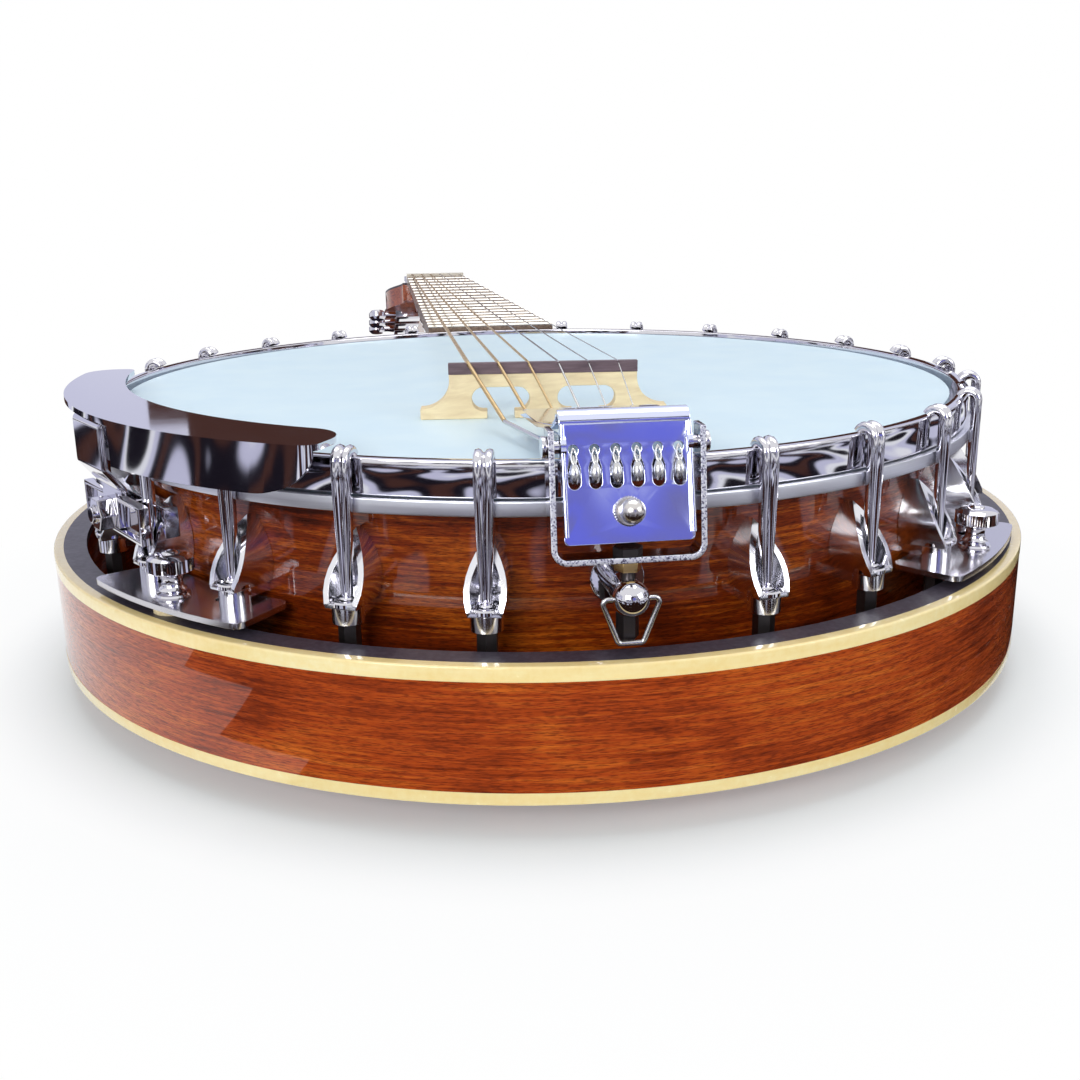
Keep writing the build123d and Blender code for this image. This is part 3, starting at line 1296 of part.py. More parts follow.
def main():
    os.makedirs("parts", exist_ok=True)
    hooks = [station_angle(k) for k in HOOK_STATIONS]
    write("resonator_back", resonator_back())
    write("resonator_wall", resonator_wall())
    write("resonator_lip", resonator_lip())
    write("bindings", [binding(LIP_Z - BINDING_H), binding(EDGE_Z)])
    write("resonator_lugs", round_the_pot(resonator_lug(), screw_places()))
    write("bracket_plates", round_the_pot(bracket_plate(), screw_places()))
    corners = ("tail_treble", "neck_treble", "neck_bass", "tail_bass")
    for corner, angle in zip(corners, screw_places()):
        write(f"thumb_screw_{corner}", at_angle(thumb_screw(), angle))
    write("rim", rim())
    write("tone_ring", tone_ring())
    write("head_skin", head_skin())
    write("flesh_hoop", flesh_hoop())
    write("tension_hoop", tension_hoop())
    write("bracket_hooks", round_the_pot(bracket_hook(), hooks))
    write("bracket_shoes", round_the_pot(bracket_shoe(), hooks))
    write("hook_nuts", [at_angle(hook_nut(nut_top(k)), station_angle(k)) for k in HOOK_STATIONS])
    write("coordinator_rod", coordinator_rod())
    write("rod_bolts", [tail_bolt(), neck_bolt()])
    write("tail_cup", tail_cup())
    write("hanger_screw_and_nuts", [hanger_screw()] + hanger_nuts())
    write("brass_nut", brass_nut())
    write("strap_ring", strap_ring())
    write("tailpiece_plate", tailpiece_plate())
    write("tailpiece_stirrup", tailpiece_stirrup())
    write("tailpiece_pins", [pivot_pin(-1), pivot_pin(1)])
    write("tailpiece_press_screw", tailpiece_press_screw())
    write("armrest_plate", armrest_plate())
    write("armrest_strap", armrest_strap())
    write("armrest_clamp", armrest_clamp())
    write("armrest_jaw", armrest_jaw())
    write("armrest_bolt_and_nut", [armrest_bolt(), armrest_nut()])
    write("bridge_base", bridge_base())
    write("bridge_cap", bridge_cap())
    write("neck", neck())
    write("fingerboard", on_neck(fingerboard()))
    write("frets", [on_neck(fret(n)) for n in range(1, FRETS + 1)])
    write("position_dots", [on_neck(position_dot(x, y)) for x, y in dot_places()])
    write("string_nut", on_neck(string_nut()))
    write("truss_rod", on_neck(truss_rod()))
    write("truss_cover", on_neck(truss_cover()))
    write("headstock_overlay", on_neck(headstock_overlay()))
    write("tuner_cases", [on_neck(tuner_case(*place)) for place in tuner_places()])
    write("tuner_bushes", [on_neck(tuner_bush(*place)) for place in tuner_places()])
    for number, place in enumerate(tuner_places(), start=1):
        write(f"tuner_post_{number}", on_neck(tuner_post(*place)))
        write(f"tuner_button_{number}", on_neck(tuner_button(*place)))
    half = STRINGS // 2
    write("wound_strings", [long_string(i) for i in range(half)])
    write("plain_strings", [long_string(i) for i in range(half, STRINGS)])
    write("string_tails", [string_tail(i) for i in range(STRINGS)])


main()
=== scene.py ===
import bmesh
import bpy
import json
from math import atan2, cos, degrees, pi, radians, sin
from mathutils import Matrix, Vector

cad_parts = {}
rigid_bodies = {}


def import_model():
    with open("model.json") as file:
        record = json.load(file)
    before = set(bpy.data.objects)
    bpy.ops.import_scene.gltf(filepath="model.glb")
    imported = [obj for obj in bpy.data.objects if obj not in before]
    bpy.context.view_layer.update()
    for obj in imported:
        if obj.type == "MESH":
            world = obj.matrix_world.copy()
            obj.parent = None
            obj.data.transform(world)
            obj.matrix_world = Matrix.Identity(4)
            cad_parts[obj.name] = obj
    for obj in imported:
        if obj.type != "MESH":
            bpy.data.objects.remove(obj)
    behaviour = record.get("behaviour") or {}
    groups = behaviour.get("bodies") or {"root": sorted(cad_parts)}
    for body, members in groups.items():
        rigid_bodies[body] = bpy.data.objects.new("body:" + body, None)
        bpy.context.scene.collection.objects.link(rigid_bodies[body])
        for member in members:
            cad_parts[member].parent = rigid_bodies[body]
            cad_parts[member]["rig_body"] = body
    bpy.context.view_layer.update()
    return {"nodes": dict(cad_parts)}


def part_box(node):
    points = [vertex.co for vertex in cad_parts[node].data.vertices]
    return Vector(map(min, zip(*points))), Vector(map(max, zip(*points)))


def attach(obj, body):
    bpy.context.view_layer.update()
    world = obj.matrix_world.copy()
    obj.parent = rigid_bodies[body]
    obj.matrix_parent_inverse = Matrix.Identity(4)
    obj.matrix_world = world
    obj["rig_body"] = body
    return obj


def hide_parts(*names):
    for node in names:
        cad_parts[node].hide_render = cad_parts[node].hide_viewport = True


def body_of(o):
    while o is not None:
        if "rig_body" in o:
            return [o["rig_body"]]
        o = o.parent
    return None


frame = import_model()
nodes = frame["nodes"]
MM = 0.001


# ---------------------------------------------------------------- finishes
class Value:
    """A number that changes over a surface; sums and products add Math nodes."""

    def __init__(self, shading, socket):
        self.shading = shading
        self.socket = socket

    def _maths(self, operation, *parts):
        return self.shading.node("ShaderNodeMath", {"operation": operation}, *parts)

    def __add__(self, other):
        return self._maths("ADD", self, other)

    def __radd__(self, other):
        return self._maths("ADD", other, self)

    def __mul__(self, other):
        return self._maths("MULTIPLY", self, other)

    def __lt__(self, other):
        return self._maths("LESS_THAN", self, other)


class Shading:
    """A node tree, and the one method that adds nodes to it."""

    def __init__(self, tree):
        self.tree = tree

    def node(self, kind, settings=None, *values, shown=None, **sockets):
        """Adds a node: its settings first, then its inputs in order or by identifier."""
        made = self.tree.nodes.new(kind)
        for name, setting in (settings or {}).items():
            if name == "stops":
                self._stops(made, setting)
            else:
                setattr(made, name, setting)
        for socket, value in zip(made.inputs, values):
            self.connect(socket, value)
        for socket in made.inputs:
            if socket.identifier in sockets:
                self.connect(socket, sockets[socket.identifier])
        outputs = [socket for socket in made.outputs if socket.enabled and shown in (None, socket.name)]
        return Value(self, outputs[0])

    def _stops(self, ramp, stops):
        elements = ramp.color_ramp.elements
        while len(elements) < len(stops):
            elements.new(0.5)
        for element, (place, colour) in zip(elements, stops):
            element.position = place
            element.color = (*colour, 1) if isinstance(colour, tuple) else (colour, colour, colour, 1)

    def connect(self, socket, value):
        if isinstance(value, Value):
            self.tree.links.new(value.socket, socket)
        else:
            socket.default_value = value

    def place(self, scale=(1, 1, 1)):
        """Object coordinates, scaled."""
        coordinate = self.node("ShaderNodeTexCoord", shown="Object")
        return self.node("ShaderNodeMapping", None, Vector=coordinate, Location=(0, 0, 0),
                         Rotation=(0, 0, 0), Scale=scale)

    def noise(self, place, scale, detail=3.0, roughness=0.5, distortion=0.0):
        return self.node("ShaderNodeTexNoise", None, Vector=place, Scale=scale, Detail=detail,
                         Roughness=roughness, Distortion=distortion)

    def ramp(self, value, *stops):
        return self.node("ShaderNodeValToRGB", {"stops": stops}, value)

    def blend(self, amount, a, b):
        """One colour into another."""
        return self.node("ShaderNodeMix", {"data_type": "RGBA", "blend_type": "MIX"},
                         Factor_Float=amount, A_Color=a, B_Color=b)


class Finish(Shading):
    """One material and the nodes that make it."""

    def __init__(self, name, colour, roughness, metallic=0.0, **shader):
        self.material = bpy.data.materials.new(name)
        self.material.use_nodes = True
        super().__init__(self.material.node_tree)
        self.shader = self.tree.nodes["Principled BSDF"]
        self.shader.inputs["Base Color"].default_value = (*colour, 1)
        self.shader.inputs["Roughness"].default_value = roughness
        self.shader.inputs["Metallic"].default_value = metallic
        for socket, value in shader.items():
            self.shader.inputs[socket.replace("_", " ")].default_value = value

    def feed(self, name, value):
        self.connect(self.shader.inputs[name], value)

    def bump(self, height, strength, distance):
        self.feed("Normal", self.node("ShaderNodeBump", None, Strength=strength, Distance=distance,
                                      Height=height))


def colour(r, g, b):
    return (r, g, b, 1)


def around_pot(finish, grain_scale, height_scale):
    """Place on the side of a drum: angle, height and radius, stretched along the grain."""
    coordinate = finish.node("ShaderNodeTexCoord", shown="Object")
    split = finish.node("ShaderNodeSeparateXYZ", None, coordinate)
    x, y, z = (Value(finish, axis) for axis in split.socket.node.outputs)
    angle = finish.node("ShaderNodeMath", {"operation": "ARCTAN2"}, x, y * -1.0)
    radius = finish.node("ShaderNodeMath", {"operation": "SQRT"}, x * x + y * y)
    return finish.node("ShaderNodeCombineXYZ", None, angle * grain_scale, z * height_scale,
                       radius * height_scale)


def mahogany_finish(name, deep, middle, light, round_the_pot):
    """Gloss lacquer over ribbon-figured mahogany with short dark pores."""
    finish = Finish(name, middle, 0.3, Coat_Weight=1.0, Coat_Roughness=0.03, Coat_IOR=1.5,
                    Specular_IOR_Level=0.1)
    if round_the_pot:
        streaks = around_pot(finish, 6.0, 900.0)
        pores_at = around_pot(finish, 62.0, 5200.0)
        ribbon_at = around_pot(finish, 2.6, 26.0)
    else:
        streaks = finish.place(scale=(900, 30, 900))
        pores_at = finish.place(scale=(3400, 400, 3400))
        ribbon_at = finish.place(scale=(60, 9, 60))
    streak = finish.noise(streaks, 1.0, 4.0, 0.62, 0.15)
    ribbon = finish.noise(ribbon_at, 1.0, 3.0, 0.55, 0.8)
    pore = finish.noise(pores_at, 1.0, 2.0, 0.5)
    tone = finish.ramp(streak * 0.55 + ribbon * 0.45, (0.34, deep), (0.50, middle), (0.66, light))
    pores = finish.ramp(pore, (0.47, 0.0), (0.62, 1.0))
    pore_colour = colour(deep[0] * 0.35, deep[1] * 0.3, deep[2] * 0.3)
    finish.feed("Base Color", finish.blend(pores * 0.62, tone, pore_colour))
    finish.feed("Roughness", 0.24 + pores * 0.2 + streak * 0.1)
    finish.bump(pore * -0.6 + streak * 0.4, 0.02, 0.0002)
    return finish


def chrome_finish(name="chrome", tint=(0.68, 0.67, 0.72), gloss=0.03):
    """Bright plating with faint haze and dust."""
    finish = Finish(name, tint, 0.06, 1.0)
    place = finish.place()
    haze = finish.noise(place, 90.0, 4.0, 0.6)
    specks = finish.ramp(finish.noise(place, 2600.0, 2.0, 0.5), (0.70, 0.0), (0.76, 1.0))
    finish.feed("Roughness", gloss + haze * 0.05 + specks * 0.12)
    finish.feed("Base Color", finish.blend(specks * 0.12, colour(*tint), colour(0.55, 0.55, 0.54)))
    return finish


def satin_metal_finish(name, tint, roughness, brushing=(60, 60, 2400)):
    """Spun or drawn metal with fine parallel marks."""
    finish = Finish(name, tint, roughness, 1.0)
    marks = finish.noise(finish.place(scale=brushing), 1.0, 3.0, 0.6)
    cloud = finish.noise(finish.place(), 60.0, 3.0, 0.5)
    finish.feed("Roughness", roughness * 0.7 + marks * roughness * 0.5 + cloud * 0.05)
    darker = colour(*(part * 0.82 for part in tint))
    finish.feed("Base Color", finish.blend(marks, darker, colour(*tint)))
    finish.bump(marks, 0.05, 0.0001)
    return finish


def speckled_front_chrome_finish():
    """Plating with pits on the faces turned towards the tail, where the strap was severed; the bright
    blue-white speckle in its colour is painted reflection.
    """
    finish = Finish("cut_chrome", (0.5, 0.5, 0.54), 0.12, 1.0)
    normal = finish.node("ShaderNodeNewGeometry", shown="Normal")
    facing = finish.node("ShaderNodeSeparateXYZ", None, normal, shown="Y")
    tail_facing = facing < -0.8
    pits = finish.noise(finish.place(), 1900, 2.0, 0.6)
    # Painted reflection: the lilac and white stops stand in for what the plating mirrors; only the dark stop
    # is the pits.
    pits_and_painted_reflection = finish.ramp(pits, (0.36, (0.12, 0.11, 0.16)), (0.44, (0.60, 0.61, 0.74)),
                         (0.52, (0.97, 0.98, 1.0)))
    finish.feed("Base Color", finish.blend(tail_facing, colour(0.50, 0.49, 0.54), pits_and_painted_reflection))
    finish.feed("Roughness", finish.ramp(tail_facing, (0.0, 0.1), (1.0, 0.42)))
    finish.bump(pits, 0.25, 0.0001)
    return finish


def head_finish():
    """Frosted white film with a sprayed coat."""
    finish = Finish("head_film", (0.84, 0.87, 0.91), 0.45, Coat_Weight=0.25, Coat_Roughness=0.35)
    place = finish.place()
    mottle = finish.noise(place, 55.0, 5.0, 0.55)
    spray = finish.noise(place, 2400.0, 2.0, 0.5)
    finish.feed("Base Color", finish.ramp(mottle, (0.35, (0.70, 0.88, 0.99)), (0.65, (0.74, 0.91, 1.0))))
    finish.feed("Roughness", 0.42 + spray * 0.2)
    finish.bump(spray, 0.12, 0.0001)
    return finish


def cream_finish():
    """Aged cream plastic with faint cloudiness."""
    finish = Finish("cream_binding", (0.95, 0.77, 0.35), 0.2, Coat_Weight=0.8, Coat_Roughness=0.05)
    place = around_pot(finish, 3.0, 120.0)
    cloud = finish.noise(place, 1.0, 4.0, 0.6)
    grime = finish.noise(finish.place(), 480.0, 3.0, 0.6)
    finish.feed("Base Color", finish.ramp(cloud * 0.7 + grime * 0.3, (0.32, (0.88, 0.66, 0.27)),
                                          (0.55, (0.92, 0.76, 0.38)), (0.75, (0.94, 0.84, 0.52))))
    finish.feed("Roughness", 0.16 + grime * 0.16)
    finish.bump(grime, 0.04, 0.0002)
    return finish


def black_finish():
    """Black plastic or lacquer, a little scuffed and speckled, with a lilac sheen painted into its colour."""
    sheen = 0.34
    finish = Finish("black_lip", (0.018, 0.017, 0.018), sheen)
    place = finish.place()
    dust_and_sheen = finish.noise(place, 700.0, 3.0, 0.6)
    scuff = finish.noise(finish.place(scale=(1, 1, 4)), 140.0, 5.0, 0.65)
    # Painted sheen: the lighter lilac stop stands in for the sheen the black surface mirrors; the fine specks
    # themselves are grime.
    finish.feed("Base Color", finish.ramp(dust_and_sheen, (0.40, (0.036, 0.030, 0.044)), (0.75, (0.075, 0.064, 0.090))))
    finish.feed("Roughness", sheen * 0.8 + scuff * 0.22)
    finish.bump(dust_and_sheen, 0.06, 0.0001)
    return finish


def plain_wood_finish(name, dark, light, along=(900, 60, 900), gloss=0.4, coat=0.0):
    """Straight-grained timber."""
    finish = Finish(name, light, gloss, Coat_Weight=coat, Coat_Roughness=0.08)
    grain = finish.noise(finish.place(scale=along), 1.0, 4.0, 0.6, 0.3)
    cloud = finish.noise(finish.place(), 40.0, 3.0, 0.5)
    finish.feed("Base Color", finish.ramp(grain * 0.7 + cloud * 0.3, (0.35, dark), (0.68, light)))
    finish.feed("Roughness", gloss + grain * 0.12)
    finish.bump(grain, 0.10, 0.0002)
    return finish


def pearl_finish():
    """Pearly inlay."""
    finish = Finish("pearl", (0.85, 0.85, 0.82), 0.18, Coat_Weight=0.6)
    swirl = finish.noise(finish.place(), 900.0, 3.0, 0.5, 1.5)
    finish.feed("Base Color", finish.ramp(swirl, (0.3, (0.62, 0.68, 0.70)), (0.5, (0.88, 0.87, 0.84)),
                                          (0.7, (0.80, 0.72, 0.74))))
    finish.feed("Roughness", 0.15 + swirl * 0.12)
    return finish


def winding_finish(name, tint):
    """Round-wound wire: fine ridges along the string."""
    finish = Finish(name, tint, 0.28, 1.0)
    ridges = finish.node("ShaderNodeTexWave", {"wave_type": "BANDS", "bands_direction": "Y"},
                         Vector=finish.place(), Scale=520.0, Distortion=0.0)
    groove = colour(*(part * 0.45 for part in tint))
    finish.feed("Base Color", finish.blend(ridges, groove, colour(*tint)))
    finish.feed("Roughness", 0.2 + ridges * 0.2)
    finish.bump(ridges, 0.5, 0.0001)
    return finish


side_mahogany = mahogany_finish("mahogany_side", (0.13, 0.014, 0.002), (0.40, 0.056, 0.006),
                                (0.62, 0.145, 0.014), True)
# Painted shade: the rim's tones are darker than the wall's because the rim sits in shadow under the hoop and
# head.
shaded_rim_mahogany = mahogany_finish("mahogany_rim", (0.04, 0.005, 0.001), (0.19, 0.024, 0.002),
                               (0.50, 0.11, 0.007), True)
neck_mahogany = mahogany_finish("mahogany_neck", (0.20, 0.030, 0.008), (0.44, 0.090, 0.022),
                                (0.60, 0.16, 0.045), False)
back_mahogany = mahogany_finish("mahogany_back", (0.17, 0.024, 0.006), (0.38, 0.065, 0.014),
                                (0.55, 0.12, 0.03), False)
chrome = chrome_finish()
# Painted reflection: the tail plate's chrome is tinted blue for the blue it mirrors.
plate_chrome = chrome_finish("plate_chrome", (0.74, 0.78, 0.98), 0.05)
bracket_chrome = chrome_finish("bracket_chrome", (0.62, 0.61, 0.65), 0.16)
# Painted highlight: the shoes' chrome is a lighter copy of the plating, brightened for their white
# reflections.
shoe_chrome = chrome_finish("shoe_chrome", (0.80, 0.80, 0.84), 0.12)
screw_nickel = chrome_finish("screw_nickel", (0.66, 0.63, 0.62), 0.2)
spun_aluminium = satin_metal_finish("spun_aluminium", (0.86, 0.88, 0.95), 0.34, (8, 8, 2600))
cut_chrome = speckled_front_chrome_finish()
dark_steel = satin_metal_finish("dark_steel", (0.10, 0.09, 0.09), 0.38)
bright_steel = satin_metal_finish("bright_steel", (0.70, 0.70, 0.70), 0.22)
brass = satin_metal_finish("brass", (0.70, 0.50, 0.22), 0.28)
nickel = satin_metal_finish("nickel", (0.66, 0.62, 0.56), 0.24)
film = head_finish()
cream = cream_finish()
black = black_finish()
maple = plain_wood_finish("maple", (0.74, 0.58, 0.34), (0.93, 0.79, 0.50), (60, 900, 500), 0.45)
ebony = plain_wood_finish("ebony", (0.09, 0.055, 0.065), (0.19, 0.125, 0.14), (60, 900, 900), 0.38)
# Partly painted sheen: the light tone is raised above the wood's own dark colour for the pale sheen of the
# polished board; the grain is real.
rosewood = plain_wood_finish("rosewood", (0.10, 0.055, 0.04), (0.30, 0.21, 0.14), (900, 40, 900),
                             0.42, 0.3)
bone = plain_wood_finish("bone", (0.78, 0.72, 0.60), (0.88, 0.84, 0.75), (90, 700, 90), 0.35)
pearl = pearl_finish()
bronze_winding = winding_finish("bronze_winding", (0.80, 0.58, 0.30))

FINISHES = {
    "resonator_back": back_mahogany, "resonator_wall": side_mahogany, "rim": shaded_rim_mahogany,
    "neck": neck_mahogany, "resonator_lugs": maple, "bridge_base": maple, "bindings": cream,
    "position_dots": pearl, "string_nut": bone, "resonator_lip": black, "headstock_overlay": black,
    "truss_cover": black, "head_skin": film, "flesh_hoop": spun_aluminium, "fingerboard": rosewood,
    "bridge_cap": ebony, "brass_nut": brass, "tone_ring": brass, "frets": nickel,
    "bracket_plates": bracket_chrome, "bracket_shoes": shoe_chrome, "tailpiece_stirrup": cut_chrome,
    "hook_nuts": dark_steel, "hanger_screw_and_nuts": dark_steel, "coordinator_rod": dark_steel,
    "truss_rod": dark_steel, "wound_strings": bronze_winding, "plain_strings": bright_steel,
    "string_tails": bright_steel, "strap_ring": bright_steel,
}


# ---------------------------------------------------------------- pieces from the CAD
def finished(piece, finish):
    piece.data.materials.clear()
    piece.data.materials.append(finish.material)


def shade(form, crease):
    """Smooth faces, with a sharp edge wherever two of them turn more than the crease."""
    for face in form.faces:
        face.smooth = True
    for edge in form.edges:
        if len(edge.link_faces) == 2:
            edge.smooth = edge.calc_face_angle(0.0) < radians(crease)


def in_scene(name, form):
    """Makes an object of a form."""
    mesh = bpy.data.meshes.new(name)
    form.to_mesh(mesh)
    form.free()
    piece = bpy.data.objects.new(name, mesh)
    bpy.context.scene.collection.objects.link(piece)
    return piece


def placed(name, form, body, finish, crease):
    """Makes an object of a form and lets it ride on a body."""
    shade(form, crease)
    piece = in_scene(name, form)
    finished(piece, finish)
    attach(piece, body)
    return piece


def rounded_edges(form, width, crease):
    """Rounds every edge that turns more than the crease."""
    sharp = [edge for edge in form.edges
             if len(edge.link_faces) == 2 and edge.calc_face_angle(0.0) > radians(crease)]
    bmesh.ops.bevel(form, geom=sharp, offset=width, offset_type="OFFSET", segments=2, profile=0.5,
                    affect="EDGES", clamp_overlap=True, material=-1)


def softened(form, width, crease, pierced):
    """Rounds sharp edges; flat faces with holes keep their triangles, the others are merged first."""
    if not pierced:
        bmesh.ops.dissolve_limit(form, angle_limit=radians(0.5), verts=form.verts, edges=form.edges)
    rounded_edges(form, width, crease)


def kept_flat(piece):
    """Lets the large faces of a piece rule its shading."""
    piece.modifiers.new("weighted_normals", "WEIGHTED_NORMAL").keep_sharp = True


def rounded_apron(form):
    """Sweeps the lower edge of the apron up in a curve at its tail end."""
    top = max(vert.co.z for vert in form.verts)
    bottom = min(vert.co.z for vert in form.verts)
    under = top - 1.7 * MM
    start = min(atan2(-vert.co.x, -vert.co.y) for vert in form.verts if vert.co.z < under)
    sweep = radians(6.5)
    for step in range(1, 13):
        turn = start + sweep * (step / 12) ** 1.6
        bmesh.ops.bisect_plane(form, geom=form.verts[:] + form.edges[:] + form.faces[:], dist=1e-6,
                               plane_co=(0, 0, 0), plane_no=(-cos(turn), sin(turn), 0))
    for vert in form.verts:
        share = 1 - (atan2(-vert.co.x, -vert.co.y) - start) / sweep
        if vert.co.z < under and 0 < share:
            rise = (under - bottom) * (1 - (1 - min(share, 0.995) ** 2) ** 0.5)
            vert.co.z = max(vert.co.z, bottom + rise)


def from_cad(node, finish, edge):
    """A merged copy of a CAD node, shaded smooth and with its edges softened."""
    crease = 32
    form = bmesh.new()
    form.from_mesh(nodes[node].data)
    bmesh.ops.remove_doubles(form, verts=form.verts, dist=1e-6)
    if node in RESHAPED:
        RESHAPED[node](form)
    if edge:
        softened(form, edge * MM, crease, node in PIERCED)
    piece = placed(f"{node}_finished", form, body_of(nodes[node])[0], finish, crease)
    if edge:
        kept_flat(piece)
    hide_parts(node)


# ---------------------------------------------------------------- shaping, in millimetres
def rounded(corners, radius):
    """A closed outline with a curve at each corner."""
    steps = 3
    points = []
    places = [Vector(corner) for corner in corners]
    for before, corner, after in zip(places[-1:] + places, places, places[1:] + places[:1]):
        start = corner + (before - corner).normalized() * radius
        end = corner + (after - corner).normalized() * radius
        for step in range(steps + 1):
            t = step / steps
            points.append(start * (1 - t) ** 2 + corner * 2 * t * (1 - t) + end * t ** 2)
    return points


def arc(middle, radius, start, end, steps):
    """Points along an arc, in degrees."""
    turns = [radians(start + (end - start) * step / steps) for step in range(steps + 1)]
    return [(middle[0] + radius * cos(turn), middle[1] + radius * sin(turn)) for turn in turns]


def lathe(outline, segments):
    """A form from an (r, z) outline turned round the Z axis."""
    form = bmesh.new()
    corners = [form.verts.new((r, 0, z)) for r, z in outline]
    edges = [form.edges.new(pair) for pair in zip(corners, corners[1:])]
    bmesh.ops.spin(form, geom=corners + edges, cent=(0, 0, 0), axis=(0, 0, 1), angle=2 * pi,
                   steps=segments, use_merge=True)
    bmesh.ops.remove_doubles(form, verts=form.verts, dist=0.0005)
    bmesh.ops.recalc_face_normals(form, faces=form.faces)
    return form


def turned_ring(corners, radius):
    """A turned ring whose section has rounded corners."""
    outline = rounded(corners, radius)
    return lathe(outline + outline[:1], 256)


def knurled(form, radius, teeth, depth=0.06):
    """Cuts teeth into the widest band of a turned form."""
    for vert in form.verts:
        if vert.co.xy.length > radius * 0.97:
            tooth = round(atan2(vert.co.y, vert.co.x) / pi * teeth)
            if tooth % 2:
                vert.co.xy *= 1 - depth
    return form


def carried(section, frames):
    """A closed section extruded through a row of frames."""
    form = bmesh.new()
    cap = form.faces.new([form.verts.new((x, y, 0)) for x, y in section])
    bmesh.ops.transform(form, matrix=frames[0], verts=cap.verts)
    for before, after in zip(frames, frames[1:]):
        made = bmesh.ops.extrude_face_region(form, geom=[cap])["geom"]
        cap = next(item for item in made if isinstance(item, bmesh.types.BMFace))
        bmesh.ops.transform(form, matrix=after @ before.inverted(), verts=cap.verts)
    bmesh.ops.recalc_face_normals(form, faces=form.faces)
    return form


def copies(form, places):
    """One form from copies of another, one at each place."""
    pattern = bpy.data.meshes.new("pattern")
    form.to_mesh(pattern)
    form.free()
    whole = bmesh.new()
    for place in places:
        copy = pattern.copy()
        copy.transform(place)
        whole.from_mesh(copy)
        bpy.data.meshes.remove(copy)
    bpy.data.meshes.remove(pattern)
    return whole


def joined(*forms):
    """Several forms as one."""
    whole = bmesh.new()
    for form in forms:
        mesh = bpy.data.meshes.new("pattern")
        form.to_mesh(mesh)
        form.free()
        whole.from_mesh(mesh)
        bpy.data.meshes.remove(mesh)
    return whole


def made(name, form, body, finish, slot, *stands_for, crease=35):
    """Turns a form in millimetres into a piece of the object."""
    bmesh.ops.scale(form, vec=(MM, MM, MM), verts=form.verts)
    if body in nodes:
        body = body_of(nodes[body])[0]
    piece = placed(name, form, body, finish, crease)
    if stands_for:
        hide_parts(*stands_for)
    return piece


def round_pot(degrees_from_tail):
    """Turns what is built along +X to its place round the pot."""
    return Matrix.Rotation(radians(degrees_from_tail - 90), 4, "Z")


def high(node):
    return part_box(node)[1][2] / MM


def low(node):
    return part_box(node)[0][2] / MM


def out_to(node):
    """Outer radius or half width of a node."""
    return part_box(node)[1][0] / MM


# ---------------------------------------------------------------- places on the pot
STATIONS = 26
FREE_STATIONS = (0, 13)
STATION = 360 / STATIONS
BRACKET_TURN = 0.85
HOOKS = [BRACKET_TURN + k * STATION for k in range(STATIONS) if k not in FREE_STATIONS]
HOOP_TOP = high("tension_hoop")
HOOP_LOW = low("tension_hoop")
HOOP_R = out_to("tension_hoop")
HOOP_IN_R = HOOP_R - 3.7
FLESH_HOOP_DEEP = 7.4
BAND_R = out_to("flesh_hoop")
ROD_R = 1.45
ROD_LINE = BAND_R + 0.3 + ROD_R
SHOE_LOW = low("bracket_shoes")
BOSS_R = 4.3
BOSS_TOP = SHOE_LOW + 5.6
LIP_TOP = high("resonator_lip")
EDGE_R = out_to("bindings")
BACK_LOW = low("bindings")
TOP_BAND = 3.9
LOW_BAND = 3.5
BAND_DEEP = 3.0
BAND_CORNER = 0.6
WALL_DEEP = 4.5
WALL_UNDER = 0.08
EDGE_SEGMENTS = 288


# ---------------------------------------------------------------- turned rings of the pot and resonator
def tension_hoop():
    """Rolled hoop with rounded edges."""
    section = ((HOOP_IN_R, HOOP_LOW), (HOOP_R, HOOP_LOW), (HOOP_R, HOOP_TOP), (HOOP_IN_R, HOOP_TOP))
    made("tension_hoop_rolled", turned_ring(section, 0.4), "banjo", chrome, "chrome", "tension_hoop",
         crease=50)


def flesh_hoop():
    """Brushed band under the hoop, bright along its top edge."""
    bottom, top = low("flesh_hoop"), high("flesh_hoop")
    inner = BAND_R - FLESH_HOOP_DEEP
    section = ((inner, bottom), (BAND_R, bottom), (BAND_R, top), (inner, top))
    made("flesh_hoop_brushed", turned_ring(section, 0.3), "banjo", spun_aluminium, "aluminium",
         "flesh_hoop", crease=50)


def bindings():
    """Two cream bindings, round on their outer corner."""
    inside, middle = EDGE_R - BAND_DEEP, EDGE_R - BAND_CORNER
    top_corner = arc((middle, LIP_TOP - BAND_CORNER), BAND_CORNER, 0, 90, 5)
    low_corner = arc((middle, BACK_LOW + BAND_CORNER), BAND_CORNER, -90, 0, 5)
    band_foot, band_head = LIP_TOP - TOP_BAND, BACK_LOW + LOW_BAND
    upper = [(inside, band_foot), (EDGE_R, band_foot)] + top_corner + [(inside, LIP_TOP)]
    lower = [(inside, BACK_LOW)] + low_corner + [(EDGE_R, band_head), (inside, band_head)]
    rings = [lathe(outline + outline[:1], EDGE_SEGMENTS) for outline in (upper, lower)]
    made("bindings_rounded", joined(*rings), "banjo", cream, "cream_plastic", "bindings", crease=50)


def resonator_wall():
    """Laminated wall, let in behind the two bindings and flush with them."""
    inside, step, outside = EDGE_R - WALL_DEEP, EDGE_R - BAND_DEEP, EDGE_R - WALL_UNDER
    low_band, top_band = BACK_LOW + LOW_BAND, LIP_TOP - TOP_BAND
    bottom, top = low("resonator_wall"), high("resonator_wall")
    outline = [(inside, bottom), (step, bottom), (step, low_band), (outside, low_band),
               (outside, top_band), (step, top_band), (step, top), (inside, top), (inside, bottom)]
    made("resonator_wall_flush", lathe(outline, EDGE_SEGMENTS), "banjo", side_mahogany, "mahogany",
         "resonator_wall", crease=50)


# ---------------------------------------------------------------- brackets
def hook_frame(point, along, width):
    """Frame at a point of the hook's line, which lies in the plane through the pot's axis."""
    out = Vector((along[1], 0, -along[0]))
    place = Matrix.Identity(4)
    place.col[0] = (0, width, 0, 0)
    place.col[1] = (*out, 0)
    place.col[2] = (along[0], 0, along[1], 0)
    place.col[3] = (point[0], 0, point[1], 1)
    return place


